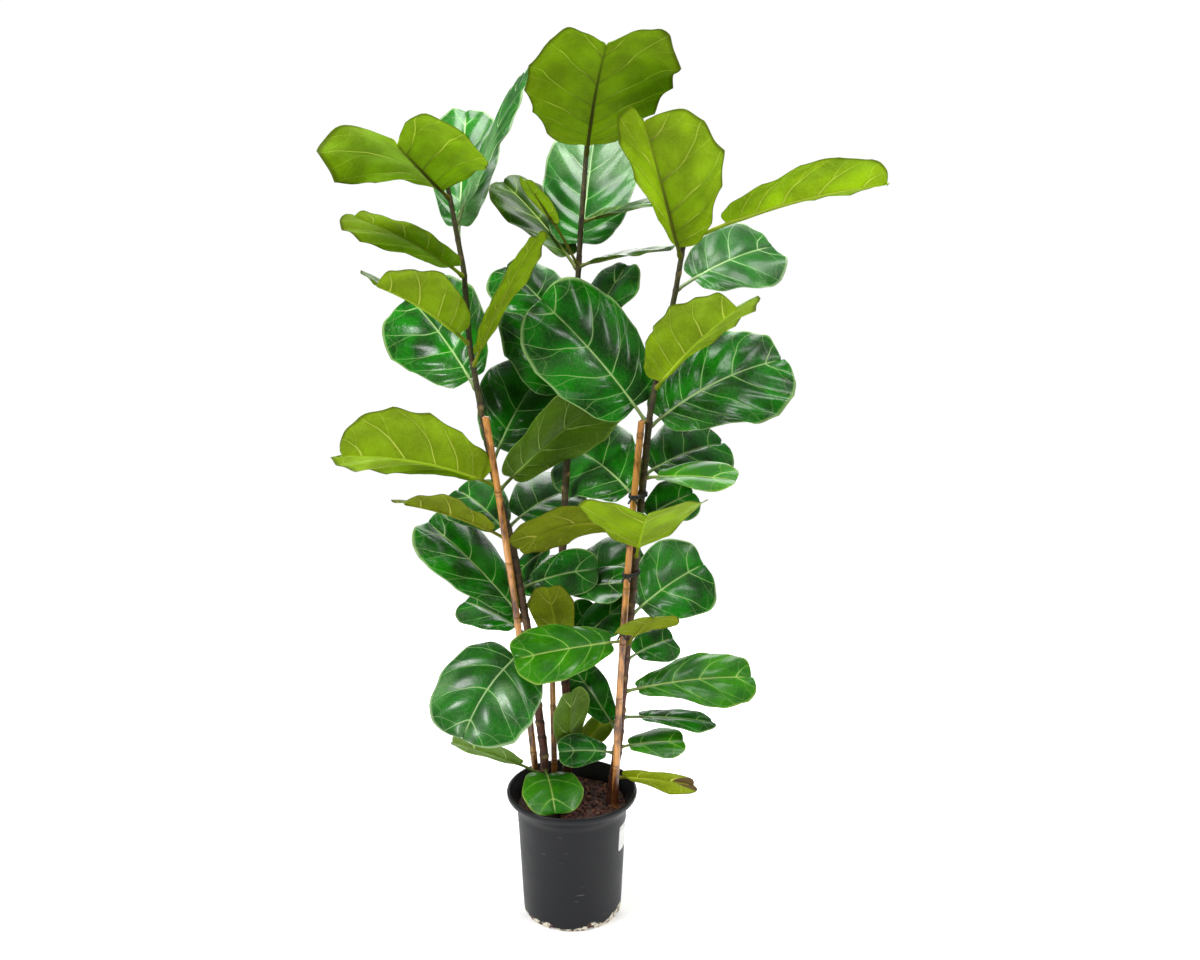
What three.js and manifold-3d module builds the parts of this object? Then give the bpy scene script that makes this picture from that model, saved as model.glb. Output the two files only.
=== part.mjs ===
import * as THREE from "three";
import { mergeVertices } from "three/addons/utils/BufferGeometryUtils.js";
import Module from "manifold-3d";

// A fiddle leaf fig about 1.7 m tall: three staked stems with large leathery leaves, in a
// 10 inch nursery pot. Millimetres, +Z up, origin at the centre of the pot's underside.

const wasm = await Module();
wasm.setup();

const GAP = 0.3;

const POT_SIDES = 40;
const POT_BASE_RADIUS = 96.5;
const POT_BODY_RADIUS = 107;
const POT_RIM_RADIUS = 127.5;
const POT_SHOULDER = 222;
const POT_HEIGHT = 261.5;
const POT_WALL = 2.4;
const POT_FLOOR = 3;
const DRAIN_COUNT = 8;
const DRAIN_SIZE = [16, 14, 11];

const SOIL_EDGE = 229;
const SOIL_CROWN = 4;

const STEM_SIDES = 10;
const BUD_LENGTH = 26;
const STEMS = {
  left: {
    path: [
      [-52, 24, 150], [-52, 22, 228], [-56, 20, 340], [-82, 18, 580], [-110, 27, 757],
      [-141, 29, 880], [-163, 20, 1018], [-180, 12, 1139], [-186, 5, 1274], [-209, -4, 1418],
    ],
    baseRadius: 8.5,
    topRadius: 4,
  },
  middle: {
    path: [
      [-14, 48, 150], [-12, 48, 228], [-6, 52, 340], [-22, 56, 627], [-8, 60, 900],
      [19, 60, 1320], [32, 54, 1490],
    ],
    baseRadius: 8.5,
    topRadius: 4,
  },
  right: {
    path: [
      [74, 8, 150], [76, 6, 228], [88, -2, 340], [108, -8, 585], [122, -12, 745],
      [133, -16, 880], [145, -18, 1020], [153, -19, 1067], [187, -26, 1238], [203, -30, 1345],
    ],
    baseRadius: 9,
    topRadius: 4.2,
  },
};

const STAKE_SIDES = 10;
const STAKE_STEPS = 10;
const STAKES = {
  left: { foot: [-63, 38, 150], head: [-153, -2, 1010], radius: 6.5, bow: 8 },
  middle: { foot: [-34, 44, 150], head: [-40, 50, 640], radius: 6, bow: 0 },
  right: { foot: [82, -17, 150], head: [130, -30, 1010], radius: 6.5, bow: -8 },
};

const TIE_HEIGHTS = [600, 715, 868];
const TIE_DEPTH = 8;
const TIE_THICKNESS = 2;
const TIE_SLACK = 0.35;

const PETIOLE_RADIUS = 2.6;
const PETIOLE_STEPS = 3;
const BLADE_HALF_THICKNESS = 0.8;
const BLADE_STATIONS = [0.07, 0.18, 0.32, 0.46, 0.6, 0.74, 0.87, 0.96];
const BLADE_LANES = [1, 0.6, 0, -0.6, -1];
const SPINE_STEPS = 60;
const LEAF_DEFAULTS = { bend: 0, waist: 0.6, lobe: 0.05, notch: 0 };

// Each leaf: its stem, its height there, the heading it leaves in, its rise above level, how far
// it droops by its tip, the lengths of stalk and blade, the blade's width, its roll, the fold
// along its midrib, how far its margins curl back, and its age. Lengths in mm, angles in degrees.
const LEAVES = [
  // name, stem, height, heading, rise, droop, stalk, length, width, roll, fold, curl, age
  ["left_leaf_01", "left", 282, 180, 28, 13, 42, 148, 108, 45, 20, 20, "fresh"],
  ["left_leaf_02", "left", 293, -76, 2, 62, 16, 94, 122, -6, 12, 5, "fresh", { waist: 0.9 }],
  ["left_leaf_03", "left", 550, -133, -12, 52, 32, 195, 215, -18, 12, 20, "mature",
    { waist: 0.95, lobe: 0.07 }],
  ["left_leaf_04", "left", 575, 133, 14, 20, 30, 165, 110, -20, 12, 20, "mature"],
  ["left_leaf_05", "left", 608, 146, 42, 18, 20, 265, 165, -12, 12, 20, "mature"],
  ["left_leaf_06", "left", 628, 66, 28, 20, 30, 145, 105, 0, 12, 20, "mature"],
  ["left_leaf_07", "left", 765, 178, 32, 15, 35, 195, 150, 20, 30, 20, "aged", { bend: 50 }],
  ["left_leaf_08", "left", 770, 122, 22, 25, 30, 190, 130, -30, 12, 20, "mature"],
  ["left_leaf_09", "left", 790, 55, 20, 30, 30, 190, 160, 30, 12, 20, "mature"],
  ["left_leaf_10", "left", 865, -4, 48, 12, 30, 270, 165, -55, 12, 20, "fresh"],
  ["left_leaf_11", "left", 875, -150, 30, 25, 20, 300, 210, 50, 40, 20, "young"],
  ["left_leaf_12", "left", 915, 64, 48, 30, 30, 220, 190, 30, 12, 20, "mature"],
  ["left_leaf_13", "left", 1059, 130, 43, 20, 20, 245, 215, -45, 12, 20, "mature"],
  ["left_leaf_14", "left", 1108, -50, 60, 15, 30, 290, 110, 20, 12, 20, "young"],
  ["left_leaf_15", "left", 1146, -126, 40, 20, 30, 240, 170, 10, 45, 20, "young"],
  ["left_leaf_16", "left", 1268, -131, 37, 20, 30, 250, 140, 15, 12, 20, "young"],
  ["left_leaf_17", "left", 1330, 90, 50, 15, 30, 290, 140, 0, 12, 20, "mature"],
  ["left_leaf_18", "left", 1362, 40, 63, 10, 25, 280, 145, -22, 10, 15, "mature"],
  ["left_leaf_19", "left", 1405, -118, 34, 0, 20, 205, 310, 10, 34, 45, "young",
    { waist: 0.7, lobe: 0, notch: 0.2 }],
  ["middle_leaf_01", "middle", 640, 30, 25, 20, 25, 170, 160, 30, 12, 20, "mature"],
  ["middle_leaf_02", "middle", 745, 172, -25, 30, 20, 100, 80, -30, 12, 20, "mature"],
  ["middle_leaf_03", "middle", 1010, 100, 50, 20, 30, 270, 230, 0, 12, 20, "mature", { waist: 0.85 }],
  ["middle_leaf_04", "middle", 1150, 128, 30, 10, 30, 210, 150, -20, 12, 20, "mature"],
  ["middle_leaf_05", "middle", 1272, 132, 44, 15, 30, 230, 120, -15, 20, 20, "mature"],
  ["middle_leaf_06", "middle", 1277, -24, 20, 16, 20, 165, 105, 0, 20, 20, "mature"],
  ["middle_leaf_07", "middle", 1283, -131, 55, 10, 95, 110, 75, -10, 20, 20, "young"],
  ["middle_leaf_08", "middle", 1290, 82, 52, 12, 30, 280, 185, 0, 12, 20, "mature", { waist: 0.8 }],
  ["middle_leaf_09", "middle", 1356, 12, 16, 10, 20, 200, 110, 0, 20, 20, "mature"],
  ["middle_leaf_10", "middle", 1478, -80, 57, 32, 15, 300, 262, 0, 15, 25, "young",
    { waist: 0.72, lobe: 0.03, notch: 0.12 }],
  ["right_leaf_01", "right", 285, -25, 14, 15, 15, 150, 110, -50, 12, 20, "aged"],
  ["right_leaf_02", "right", 350, 15, 5, 15, 15, 115, 80, 25, 12, 20, "fresh"],
  ["right_leaf_03", "right", 385, 128, 36, 10, 20, 150, 90, -20, 12, 20, "mature"],
  ["right_leaf_04", "right", 413, 22, -8, 10, 35, 165, 80, 10, 12, 20, "mature"],
  ["right_leaf_05", "right", 468, 24, 3, 15, 25, 262, 140, 35, 12, 20, "fresh", { waist: 0.4 }],
  ["right_leaf_06", "right", 535, 45, 12, 20, 20, 110, 95, 35, 12, 20, "mature"],
  ["right_leaf_07", "right", 575, -72, 42, 10, 40, 130, 130, 0, 12, 20, "aged", { lobe: 0.02 }],
  ["right_leaf_08", "right", 575, -165, 0, 8, 25, 195, 135, -35, 12, 20, "fresh"],
  ["right_leaf_09", "right", 628, 44, 24, 20, 20, 190, 180, 45, 12, 20, "mature"],
  ["right_leaf_10", "right", 750, -86, 42, 10, 40, 190, 250, 0, 20, 0, "young", { lobe: 0.03 }],
  ["right_leaf_11", "right", 790, -174, 30, 75, 22, 215, 120, 55, 20, 20, "aged"],
  ["right_leaf_12", "right", 850, 125, 28, 30, 30, 215, 190, -40, 12, 20, "mature"],
  ["right_leaf_13", "right", 900, -15, 10, 15, 20, 150, 105, 15, 20, 20, "fresh"],
  ["right_leaf_14", "right", 905, 50, 12, 20, 20, 225, 165, 40, 12, 20, "mature"],
  ["right_leaf_15", "right", 998, 30, 32, 30, 20, 295, 225, 40, 12, 20, "mature"],
  ["right_leaf_16", "right", 1008, 173, 56, 15, 30, 268, 205, -60, 12, 20, "mature", { waist: 0.85 }],
  ["right_leaf_17", "right", 1072, -57, 45, 15, 15, 280, 190, -8, 38, 20, "young"],
  ["right_leaf_18", "right", 1247, 42, 22, 20, 40, 220, 165, 40, 12, 20, "mature"],
  ["right_leaf_19", "right", 1308, -122, 65, 8, 15, 262, 235, -2, 45, 20, "young"],
  ["right_leaf_20", "right", 1332, -14, 27, 20, 75, 290, 135, -35, 45, 20, "young"],
];

const FINISHES = {
  mature: { color: 0x3d5b2d, roughness: 0.45 },
  fresh: { color: 0x6f9440, roughness: 0.5 },
  young: { color: 0xa6c24a, roughness: 0.55 },
  aged: { color: 0xc2bd4c, roughness: 0.6 },
  bark: { color: 0x5c4836, roughness: 0.85 },
  bamboo: { color: 0xb39262, roughness: 0.6 },
  soil: { color: 0x3a2a20, roughness: 1 },
  pot: { color: 0x1c1d1f, roughness: 0.6 },
  tie: { color: 0x2c3a2c, roughness: 0.7 },
};

const radians = THREE.MathUtils.degToRad;
const smoothstep = THREE.MathUtils.smoothstep;
const clamp = THREE.MathUtils.clamp;

function finish(name) {
  return new THREE.MeshStandardMaterial({ ...FINISHES[name], metalness: 0 });
}

function piece(name, geometry, finishName) {
  const mesh = new THREE.Mesh(geometry, finish(finishName));
  mesh.name = name;
  return mesh;
}

function indexedGeometry(positions, index) {
  const geometry = new THREE.BufferGeometry();
  geometry.setAttribute("position", new THREE.Float32BufferAttribute(positions, 3));
  geometry.setIndex(index);
  return geometry;
}

// Skins rings of equal count, closed at each end by a fan round a point. Strips from otherFrom on are
// split along their other diagonal, so that two facing walls are split alike.
function loft(rings, startPoint, endPoint, otherFrom = Infinity) {
  const count = rings[0].length;
  const points = [...rings.flat(), startPoint, endPoint];
  const start = points.length - 2;
  const end = points.length - 1;
  const last = (rings.length - 1) * count;
  const index = [];
  for (let j = 0; j < count; j++) {
    const next = (j + 1) % count;
    index.push(start, next, j);
    index.push(end, last + j, last + next);
    for (let base = 0; base < last; base += count) {
      const [a, b, c, d] = [base + j, base + next, base + count + next, base + count + j];
      index.push(...(j < otherFrom ? [a, b, c, a, c, d] : [a, b, d, b, c, d]));
    }
  }
  return indexedGeometry(points.flatMap((p) => [p.x, p.y, p.z]), index);
}

// Merges doubled vertices and drops the triangles that close up to nothing at an axis.
function weld(geometry) {
  const bare = geometry.clone();
  bare.deleteAttribute("normal");
  bare.deleteAttribute("uv");
  const welded = mergeVertices(bare, 1e-4);
  const source = welded.index.array;
  const index = [];
  for (let i = 0; i < source.length; i += 3) {
    const [a, b, c] = source.slice(i, i + 3);
    if (a !== b && b !== c && c !== a) index.push(a, b, c);
  }
  welded.setIndex(index);
  return welded;
}

function toSolid(geometry) {
  const welded = weld(geometry);
  const vertProperties = new Float32Array(welded.attributes.position.array);
  const triVerts = new Uint32Array(welded.index.array);
  return new wasm.Manifold(new wasm.Mesh({ numProp: 3, vertProperties, triVerts }));
}

function toGeometry(solid) {
  const mesh = solid.getMesh();
  return indexedGeometry(Array.from(mesh.vertProperties), Array.from(mesh.triVerts));
}

// Turns a profile of [radius, height] pairs round the vertical axis.
function turned(profile) {
  const points = profile.map(([radius, height]) => new THREE.Vector2(radius, height));
  return new THREE.LatheGeometry(points, POT_SIDES).rotateX(Math.PI / 2);
}

function potInnerRadius(height) {
  const t = height / POT_SHOULDER;
  return THREE.MathUtils.lerp(POT_BASE_RADIUS, POT_BODY_RADIUS, t) - POT_WALL;
}

function potProfile() {
  const flare = POT_RIM_RADIUS;
  const outside = [
    [0, 0],
    [POT_BASE_RADIUS - 6.5, 0],
    [POT_BASE_RADIUS, 5],
    [POT_BODY_RADIUS, POT_SHOULDER],
    [flare - 16.5, POT_HEIGHT - 29.5],
    [flare - 7.5, POT_HEIGHT - 18.5],
    [flare - 1.5, POT_HEIGHT - 11.5],
    [flare, POT_HEIGHT - 5.5],
    [flare - 1.5, POT_HEIGHT - 0.5],
  ];
  const inside = [
    [flare - 5.5, POT_HEIGHT],
    [flare - 8.5, POT_HEIGHT - 4.5],
    [flare - 14.5, POT_HEIGHT - 15.5],
    [flare - 20, POT_HEIGHT - 27.5],
    [potInnerRadius(POT_SHOULDER), POT_SHOULDER],
    [potInnerRadius(POT_FLOOR), POT_FLOOR],
    [0, POT_FLOOR],
  ];
  return [...outside, ...inside];
}

// The pot, with drain slots cut through the corner between its floor and its wall.
function potGeometry() {
  let pot = toSolid(turned(potProfile()));
  for (let i = 0; i < DRAIN_COUNT; i++) {
    const slot = new THREE.BoxGeometry(...DRAIN_SIZE);
    slot.translate(POT_BASE_RADIUS - 3, 0, DRAIN_SIZE[2] / 2 - 1);
    slot.rotateZ(((i + 0.5) * 2 * Math.PI) / DRAIN_COUNT);
    pot = pot.subtract(toSolid(slot));
  }
  return toGeometry(pot);
}

// The root ball and its mounded top, fitted to the pot and bored for the stems and stakes.
function soilGeometry() {
  const bottom = POT_FLOOR + GAP;
  const shoulder = potInnerRadius(POT_SHOULDER) - GAP - 0.1;
  const edge = shoulder + 1.2;
  let soil = toSolid(turned([
    [0, bottom],
    [potInnerRadius(bottom) - GAP - 0.1, bottom],
    [shoulder, POT_SHOULDER],
    [edge, SOIL_EDGE],
    [edge * 0.8, SOIL_EDGE + SOIL_CROWN * 0.45],
    [edge * 0.45, SOIL_EDGE + SOIL_CROWN * 0.85],
    [0, SOIL_EDGE + SOIL_CROWN],
  ]));
  for (const name of Object.keys(STEMS)) {
    soil = soil.subtract(toSolid(stemGeometry(name, GAP)));
    soil = soil.subtract(toSolid(stakeGeometry(name, GAP)));
  }
  return toGeometry(soil);
}

// A level ring whose flats, not its corners, lie at the given radius.
function levelRing(centre, radius, sides) {
  const reach = radius / Math.cos(Math.PI / sides);
  const points = [];
  for (let i = 0; i < sides; i++) {
    const angle = (i * 2 * Math.PI) / sides;
    const side = new THREE.Vector3(Math.cos(angle), Math.sin(angle), 0);
    points.push(side.multiplyScalar(reach).add(centre));
  }
  return points;
}

function stemCentre(stem, height) {
  const path = STEMS[stem].path;
  let i = 1;
  while (i < path.length - 1 && path[i][2] < height) i++;
  const lower = new THREE.Vector3(...path[i - 1]);
  const upper = new THREE.Vector3(...path[i]);
  return lower.lerp(upper, (height - lower.z) / (upper.z - lower.z));
}

function stemRadius(stem, height) {
  const { path, baseRadius, topRadius } = STEMS[stem];
  const soilLine = path[1][2];
  const top = path[path.length - 1][2];
  return THREE.MathUtils.lerp(baseRadius, topRadius, (height - soilLine) / (top - soilLine));
}

// A tapering stem that ends in a pointed bud, grown on every side by the given allowance.
function stemGeometry(stem, grow = 0) {
  const path = STEMS[stem].path;
  const top = path[path.length - 1][2];
  const topRadius = STEMS[stem].topRadius;
  const ringAt = ([, , z]) => levelRing(stemCentre(stem, z), stemRadius(stem, z) + grow, STEM_SIDES);
  const rings = path.map(ringAt);
  const lean = stemCentre(stem, top).sub(stemCentre(stem, top - 20)).divideScalar(20);
  const along = (rise) => stemCentre(stem, top).addScaledVector(lean, rise);
  rings.push(levelRing(along(BUD_LENGTH * 0.3), topRadius * 1.05 + grow, STEM_SIDES));
  rings.push(levelRing(along(BUD_LENGTH * 0.65), topRadius * 0.65 + grow, STEM_SIDES));
  const foot = stemCentre(stem, path[0][2]);
  foot.z -= grow;
  return loft(rings, foot, along(BUD_LENGTH + grow));
}

// The point a given part of the way up a bowed bamboo cane.
function stakeCentre(name, t) {
  const { foot, head, bow } = STAKES[name];
  const point = new THREE.Vector3(...foot).lerp(new THREE.Vector3(...head), t);
  point.x += bow * 4 * t * (1 - t);
  return point;
}

function stakeGeometry(name, grow = 0) {
  const rings = [];
  for (let i = 0; i <= STAKE_STEPS; i++) {
    rings.push(levelRing(stakeCentre(name, i / STAKE_STEPS), STAKES[name].radius + grow, STAKE_SIDES));
  }
  const foot = stakeCentre(name, 0);
  foot.z -= grow;
  return loft(rings, foot, stakeCentre(name, 1));
}

// The outline of a loop drawn tight round two circles, one at the origin and one along +X.
function loopOutline(radiusA, radiusB, spacing, extra) {
  const tilt = Math.asin((radiusA - radiusB) / spacing);
  const points = [];
  for (let i = 0; i <= 8; i++) {
    const angle = -Math.PI / 2 + tilt + (i / 8) * (Math.PI - 2 * tilt);
    const reach = radiusB + extra;
    points.push(new THREE.Vector2(spacing + reach * Math.cos(angle), reach * Math.sin(angle)));
  }
  for (let i = 0; i <= 8; i++) {
    const angle = Math.PI / 2 - tilt + (i / 8) * (Math.PI + 2 * tilt);
    const reach = radiusA + extra;
    points.push(new THREE.Vector2(reach * Math.cos(angle), reach * Math.sin(angle)));
  }
  return points;
}

// A soft band round the right stem and its stake, square to the way they lean together.
function tieGeometry(height) {
  const { foot, head } = STAKES.right;
  const stakeAt = (z) => stakeCentre("right", (z - foot[2]) / (head[2] - foot[2]));
  const stemAt = (z) => stemCentre("right", z);
  const up = stemAt(height + 10).sub(stemAt(height - 10));
  up.add(stakeAt(height + 10)).sub(stakeAt(height - 10)).normalize();
  const across = stakeAt(height).sub(stemAt(height));
  across.addScaledVector(up, -across.dot(up));
  const spacing = across.length();
  const corner = 1 / Math.cos(Math.PI / STEM_SIDES);
  const stem = stemRadius("right", height) * corner;
  const stake = STAKES.right.radius * corner;
  const shape = new THREE.Shape(loopOutline(stem, stake, spacing, TIE_SLACK + TIE_THICKNESS));
  shape.holes.push(new THREE.Path(loopOutline(stem, stake, spacing, TIE_SLACK)));
  const band = new THREE.ExtrudeGeometry(shape, { depth: TIE_DEPTH, bevelEnabled: false });
  band.translate(0, 0, -TIE_DEPTH / 2);
  const x = across.normalize();
  const y = new THREE.Vector3().crossVectors(up, x);
  band.applyMatrix4(new THREE.Matrix4().makeBasis(x, y, up).setPosition(stemAt(height)));
  return band;
}

// The unit direction of a leaf's midrib at a distance along it, turning and drooping steadily.
function midribDirection(leaf, distance) {
  const part = distance / (leaf.stalk + leaf.length);
  const climb = radians(leaf.rise - leaf.droop * part);
  const heading = radians(leaf.heading + leaf.bend * part);
  const level = Math.cos(climb);
  return new THREE.Vector3(level * Math.cos(heading), level * Math.sin(heading), Math.sin(climb));
}

// The midrib's point and the blade's two cross directions at a distance from the leaf's foot.
function midribFrame(leaf, distance) {
  const point = new THREE.Vector3();
  const step = distance / SPINE_STEPS;
  for (let i = 0; i < SPINE_STEPS; i++) {
    point.addScaledVector(midribDirection(leaf, (i + 0.5) * step), step);
  }
  const along = midribDirection(leaf, distance);
  const heading = radians(leaf.heading + (leaf.bend * distance) / (leaf.stalk + leaf.length));
  const across = new THREE.Vector3(-Math.sin(heading), Math.cos(heading), 0);
  const roll = radians(leaf.roll * clamp(distance / leaf.stalk, 0, 1));
  across.applyAxisAngle(along, roll);
  const up = new THREE.Vector3().crossVectors(along, across);
  return { point, across, up };
}

// The blade's half width at a part of its length: waisted near the stalk, broad near the tip.
function bladeHalfWidth(leaf, u) {
  const spread = leaf.waist + (1 - leaf.waist) * smoothstep(u, 0.15, 0.7);
  return 0.51 * leaf.width * Math.sin(Math.PI * u) ** 0.7 * spread;
}

// How far out the margin lies, with its lobes swept back past the stalk.
function marginReach(leaf, u) {
  const lobes = leaf.lobe * Math.sin(Math.PI * clamp(u / 0.4, 0, 1));
  const crest = (leaf.notch / 2) * Math.sin(Math.PI * clamp((u - 0.6) / 0.4, 0, 1));
  const tip = 0.04 * u ** 12 + leaf.notch * u ** 24;
  return leaf.length * ((1 - Math.cos(Math.PI * u)) / 2 - lobes + crest - tip);
}

// Where on the midrib the vein to that part of the margin starts.
function veinFoot(leaf, u) {
  return leaf.length * u ** 1.5 * (1 - 0.04 * u ** 12 - leaf.notch);
}

// A point on the blade: u runs to the tip, v from one margin to the other, face is 1 on the
// upper skin and -1 on the lower. The blade is folded at its midrib and curls back outwards.
function bladePoint(leaf, u, v, face) {
  const side = Math.abs(v);
  const reach = THREE.MathUtils.lerp(veinFoot(leaf, u), marginReach(leaf, u), side);
  const width = bladeHalfWidth(leaf, u) * side;
  const angle = radians(leaf.fold - (leaf.curl * 2 * width) / leaf.width);
  const { point, across, up } = midribFrame(leaf, leaf.stalk + reach);
  const skin = face * BLADE_HALF_THICKNESS * Math.sqrt(Math.max(0, 1 - side * side));
  point.addScaledVector(across, width * Math.cos(angle) * Math.sign(v));
  return point.addScaledVector(up, width * Math.sin(angle) + skin);
}

// The foot of the stalk, a hair's breadth off the stem's bark whichever way the stem leans.
function leafFoot(leaf) {
  const heading = radians(leaf.heading);
  const rise = radians(leaf.rise);
  const outwards = new THREE.Vector3(Math.cos(heading), Math.sin(heading), 0);
  const lean = stemCentre(leaf.stem, leaf.height + 4).sub(stemCentre(leaf.stem, leaf.height - 4));
  const slope = lean.dot(outwards) / lean.z;
  const slant = Math.abs(Math.sin(rise) + slope * Math.cos(rise));
  const reach = stemRadius(leaf.stem, leaf.height) + 2 * GAP + PETIOLE_RADIUS * slant;
  return stemCentre(leaf.stem, leaf.height).addScaledVector(outwards, reach);
}

function stalkRing(leaf, distance, lanes) {
  const { point, across, up } = midribFrame(leaf, distance);
  return lanes.map(({ v, face }) => {
    const rim = point.clone().addScaledVector(across, PETIOLE_RADIUS * v);
    return rim.addScaledVector(up, face * PETIOLE_RADIUS * Math.sqrt(1 - v * v));
  });
}

function leafGeometry(leaf) {
  const upper = BLADE_LANES.map((v) => ({ v, face: 1 }));
  const lower = BLADE_LANES.slice(1, -1).reverse().map((v) => ({ v, face: -1 }));
  const lanes = [...upper, ...lower];
  const rings = [];
  for (let i = 0; i <= PETIOLE_STEPS; i++) {
    rings.push(stalkRing(leaf, (leaf.stalk * i) / PETIOLE_STEPS, lanes));
  }
  for (const u of BLADE_STATIONS) {
    rings.push(lanes.map(({ v, face }) => bladePoint(leaf, u, v, face)));
  }
  const tip = bladePoint(leaf, 1, 0, 0);
  const blade = loft(rings, new THREE.Vector3(), tip, upper.length - 1);
  const foot = leafFoot(leaf);
  return blade.translate(foot.x, foot.y, foot.z);
}

function leafFromRow(row) {
  const [name, stem, height, heading, rise, droop, stalk, length, width, roll, fold, curl, age, extras] = row;
  const form = { height, heading, rise, droop, stalk, length, width, roll, fold, curl };
  return { ...LEAF_DEFAULTS, name, stem, age, ...form, ...extras };
}

function staked(stem) {
  const group = new THREE.Group();
  group.add(piece(`stem_${stem}`, stemGeometry(stem), "bark"));
  group.add(piece(`stake_${stem}`, stakeGeometry(stem), "bamboo"));
  for (const leaf of LEAVES.map(leafFromRow)) {
    if (leaf.stem === stem) group.add(piece(leaf.name, leafGeometry(leaf), leaf.age));
  }
  return group;
}

const plant = new THREE.Group();
plant.add(piece("pot", potGeometry(), "pot"));
plant.add(piece("soil", soilGeometry(), "soil"));
for (const stem of Object.keys(STEMS)) plant.add(staked(stem));
TIE_HEIGHTS.forEach((height, i) => {
  plant.add(piece(`tie_${i + 1}`, tieGeometry(height), "tie"));
});

export default plant;
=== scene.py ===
"""A tall fiddle leaf fig in a round nursery pot.

Three leaning stems rise from one pot. The outer two lean along tall bamboo canes and the right
one is tied to its cane. Every stem carries large leathery leaves, deep green and glossy where
they are old and lime green where they are young. Shapes are worked out in millimetres, +Z up,
and become metres when a mesh is made.
"""
from __future__ import annotations

import logging
from abc import ABC, abstractmethod
from dataclasses import dataclass, field, replace
from enum import Enum
from typing import Sequence, Union

import bpy
import numpy as np
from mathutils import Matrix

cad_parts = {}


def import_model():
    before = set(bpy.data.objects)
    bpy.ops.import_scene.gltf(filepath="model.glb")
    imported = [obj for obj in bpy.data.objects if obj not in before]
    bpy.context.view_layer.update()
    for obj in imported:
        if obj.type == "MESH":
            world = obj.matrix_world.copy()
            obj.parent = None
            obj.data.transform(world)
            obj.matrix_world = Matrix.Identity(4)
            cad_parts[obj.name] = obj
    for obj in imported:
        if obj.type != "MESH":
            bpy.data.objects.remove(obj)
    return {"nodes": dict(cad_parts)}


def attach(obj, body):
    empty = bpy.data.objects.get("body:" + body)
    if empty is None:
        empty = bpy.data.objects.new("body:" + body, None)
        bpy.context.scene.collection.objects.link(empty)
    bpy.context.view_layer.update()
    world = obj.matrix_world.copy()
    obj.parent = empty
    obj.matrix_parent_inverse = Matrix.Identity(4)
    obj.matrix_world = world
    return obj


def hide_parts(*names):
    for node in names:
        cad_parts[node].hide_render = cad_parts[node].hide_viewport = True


Array = np.ndarray
Rgb = tuple[float, float, float]
Socket = bpy.types.NodeSocket
Material = bpy.types.Material
Value = Union[Socket, float, tuple]

LOG = logging.getLogger("fiddle_leaf_fig")
METRES = 0.001
BODY = "root"
TURN = 2.0 * np.pi
UP = np.array([0.0, 0.0, 1.0])
SOIL_LEVEL = 230.0
MAP_UNIT = 100.0  # millimetres to one unit of a leaf's flat map
ROD_SIDES = 10
GOLDEN_ANGLE = 137.5
STEM_SEED = 31
LEAF_SEED = 100

RIB_BROWN: Rgb = (74, 62, 22)
# The pale green of the painted sheen, a painted reflection on glossy leaves.
PAINTED_SHEEN_TONE: Rgb = (148, 196, 132)
DRIED: Rgb = (112, 88, 50)
LIGHT_THROUGH: Rgb = (168, 196, 10)


class Tone(Enum):
    """The age and finish of a leaf."""

    MATURE = "mature"
    # Mature, with a heavy painted silvery sheen: a painted reflection.
    PAINTED_SILVER = "painted_silver"
    FRESH = "fresh"
    YOUNG = "young"
    AGED = "aged"
    OLIVE = "olive"


def paint(rgb: Rgb) -> tuple[float, float, float, float]:
    """Turns a screen colour of 0 to 255 into the linear colour that a shader reads.

    Args:
        rgb: red, green and blue as a screen shows them.

    Returns:
        Linear red, green, blue and a full alpha.
    """
    part = np.array(rgb, dtype=float) / 255.0
    low = part / 12.92
    high = ((part + 0.055) / 1.055) ** 2.4
    red, green, blue = np.where(part <= 0.04045, low, high)
    return float(red), float(green), float(blue), 1.0


def linear(colour: Value) -> Value:
    """Paints a screen colour, and leaves a socket as it is."""
    return paint(colour) if isinstance(colour, tuple) else colour


def smooth(x: Array, low: float, high: float) -> Array:
    """Eases from 0 at low to 1 at high as 3t^2 - 2t^3.

    Args:
        x: the values to ease.
        low: where the ramp starts.
        high: where the ramp ends.

    Returns:
        The eased values, flat outside the ramp.
    """
    t = np.clip((x - low) / (high - low), 0.0, 1.0)
    return t * t * (3.0 - 2.0 * t)


def circle(count: int) -> Array:
    """Angles evenly round a full turn, from 0."""
    return np.linspace(0.0, TURN, count, endpoint=False)


def facing(angle: Array | float) -> Array:
    """The level unit direction at an angle: (cos a, sin a, 0)."""
    angle = np.asarray(angle, dtype=float)
    return np.stack([np.cos(angle), np.sin(angle), np.zeros_like(angle)], axis=-1)


def unit(vectors: Array) -> Array:
    """The vectors, each made one long."""
    return vectors / np.linalg.norm(vectors, axis=-1, keepdims=True)


def bell(x: Array, width: float) -> Array:
    """The bell curve exp(-(x / width)^2)."""
    return np.exp(-((x / width) ** 2))


def ripples(x: Array, y: Array, seed: int, pitch: float, count: int = 7) -> Array:
    """Smooth uneven ground: the mean of sine waves of near pitch in seeded directions.

    Args:
        x: first coordinate.
        y: second coordinate.
        seed: which ground.
        pitch: the typical distance from crest to crest.
        count: how many waves are added.

    Returns:
        Heights of about -1 to 1.
    """
    rng = np.random.default_rng(seed)
    total = np.zeros(np.broadcast(x, y).shape)
    for _ in range(count):
        turn, phase = rng.uniform(0.0, TURN, 2)
        wave = TURN / (pitch * rng.uniform(0.6, 1.7))
        total = total + np.sin(wave * (x * np.cos(turn) + y * np.sin(turn)) + phase)
    return total / np.sqrt(count)


# ---------------------------------------------------------------------------------------------
# Materials


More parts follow.
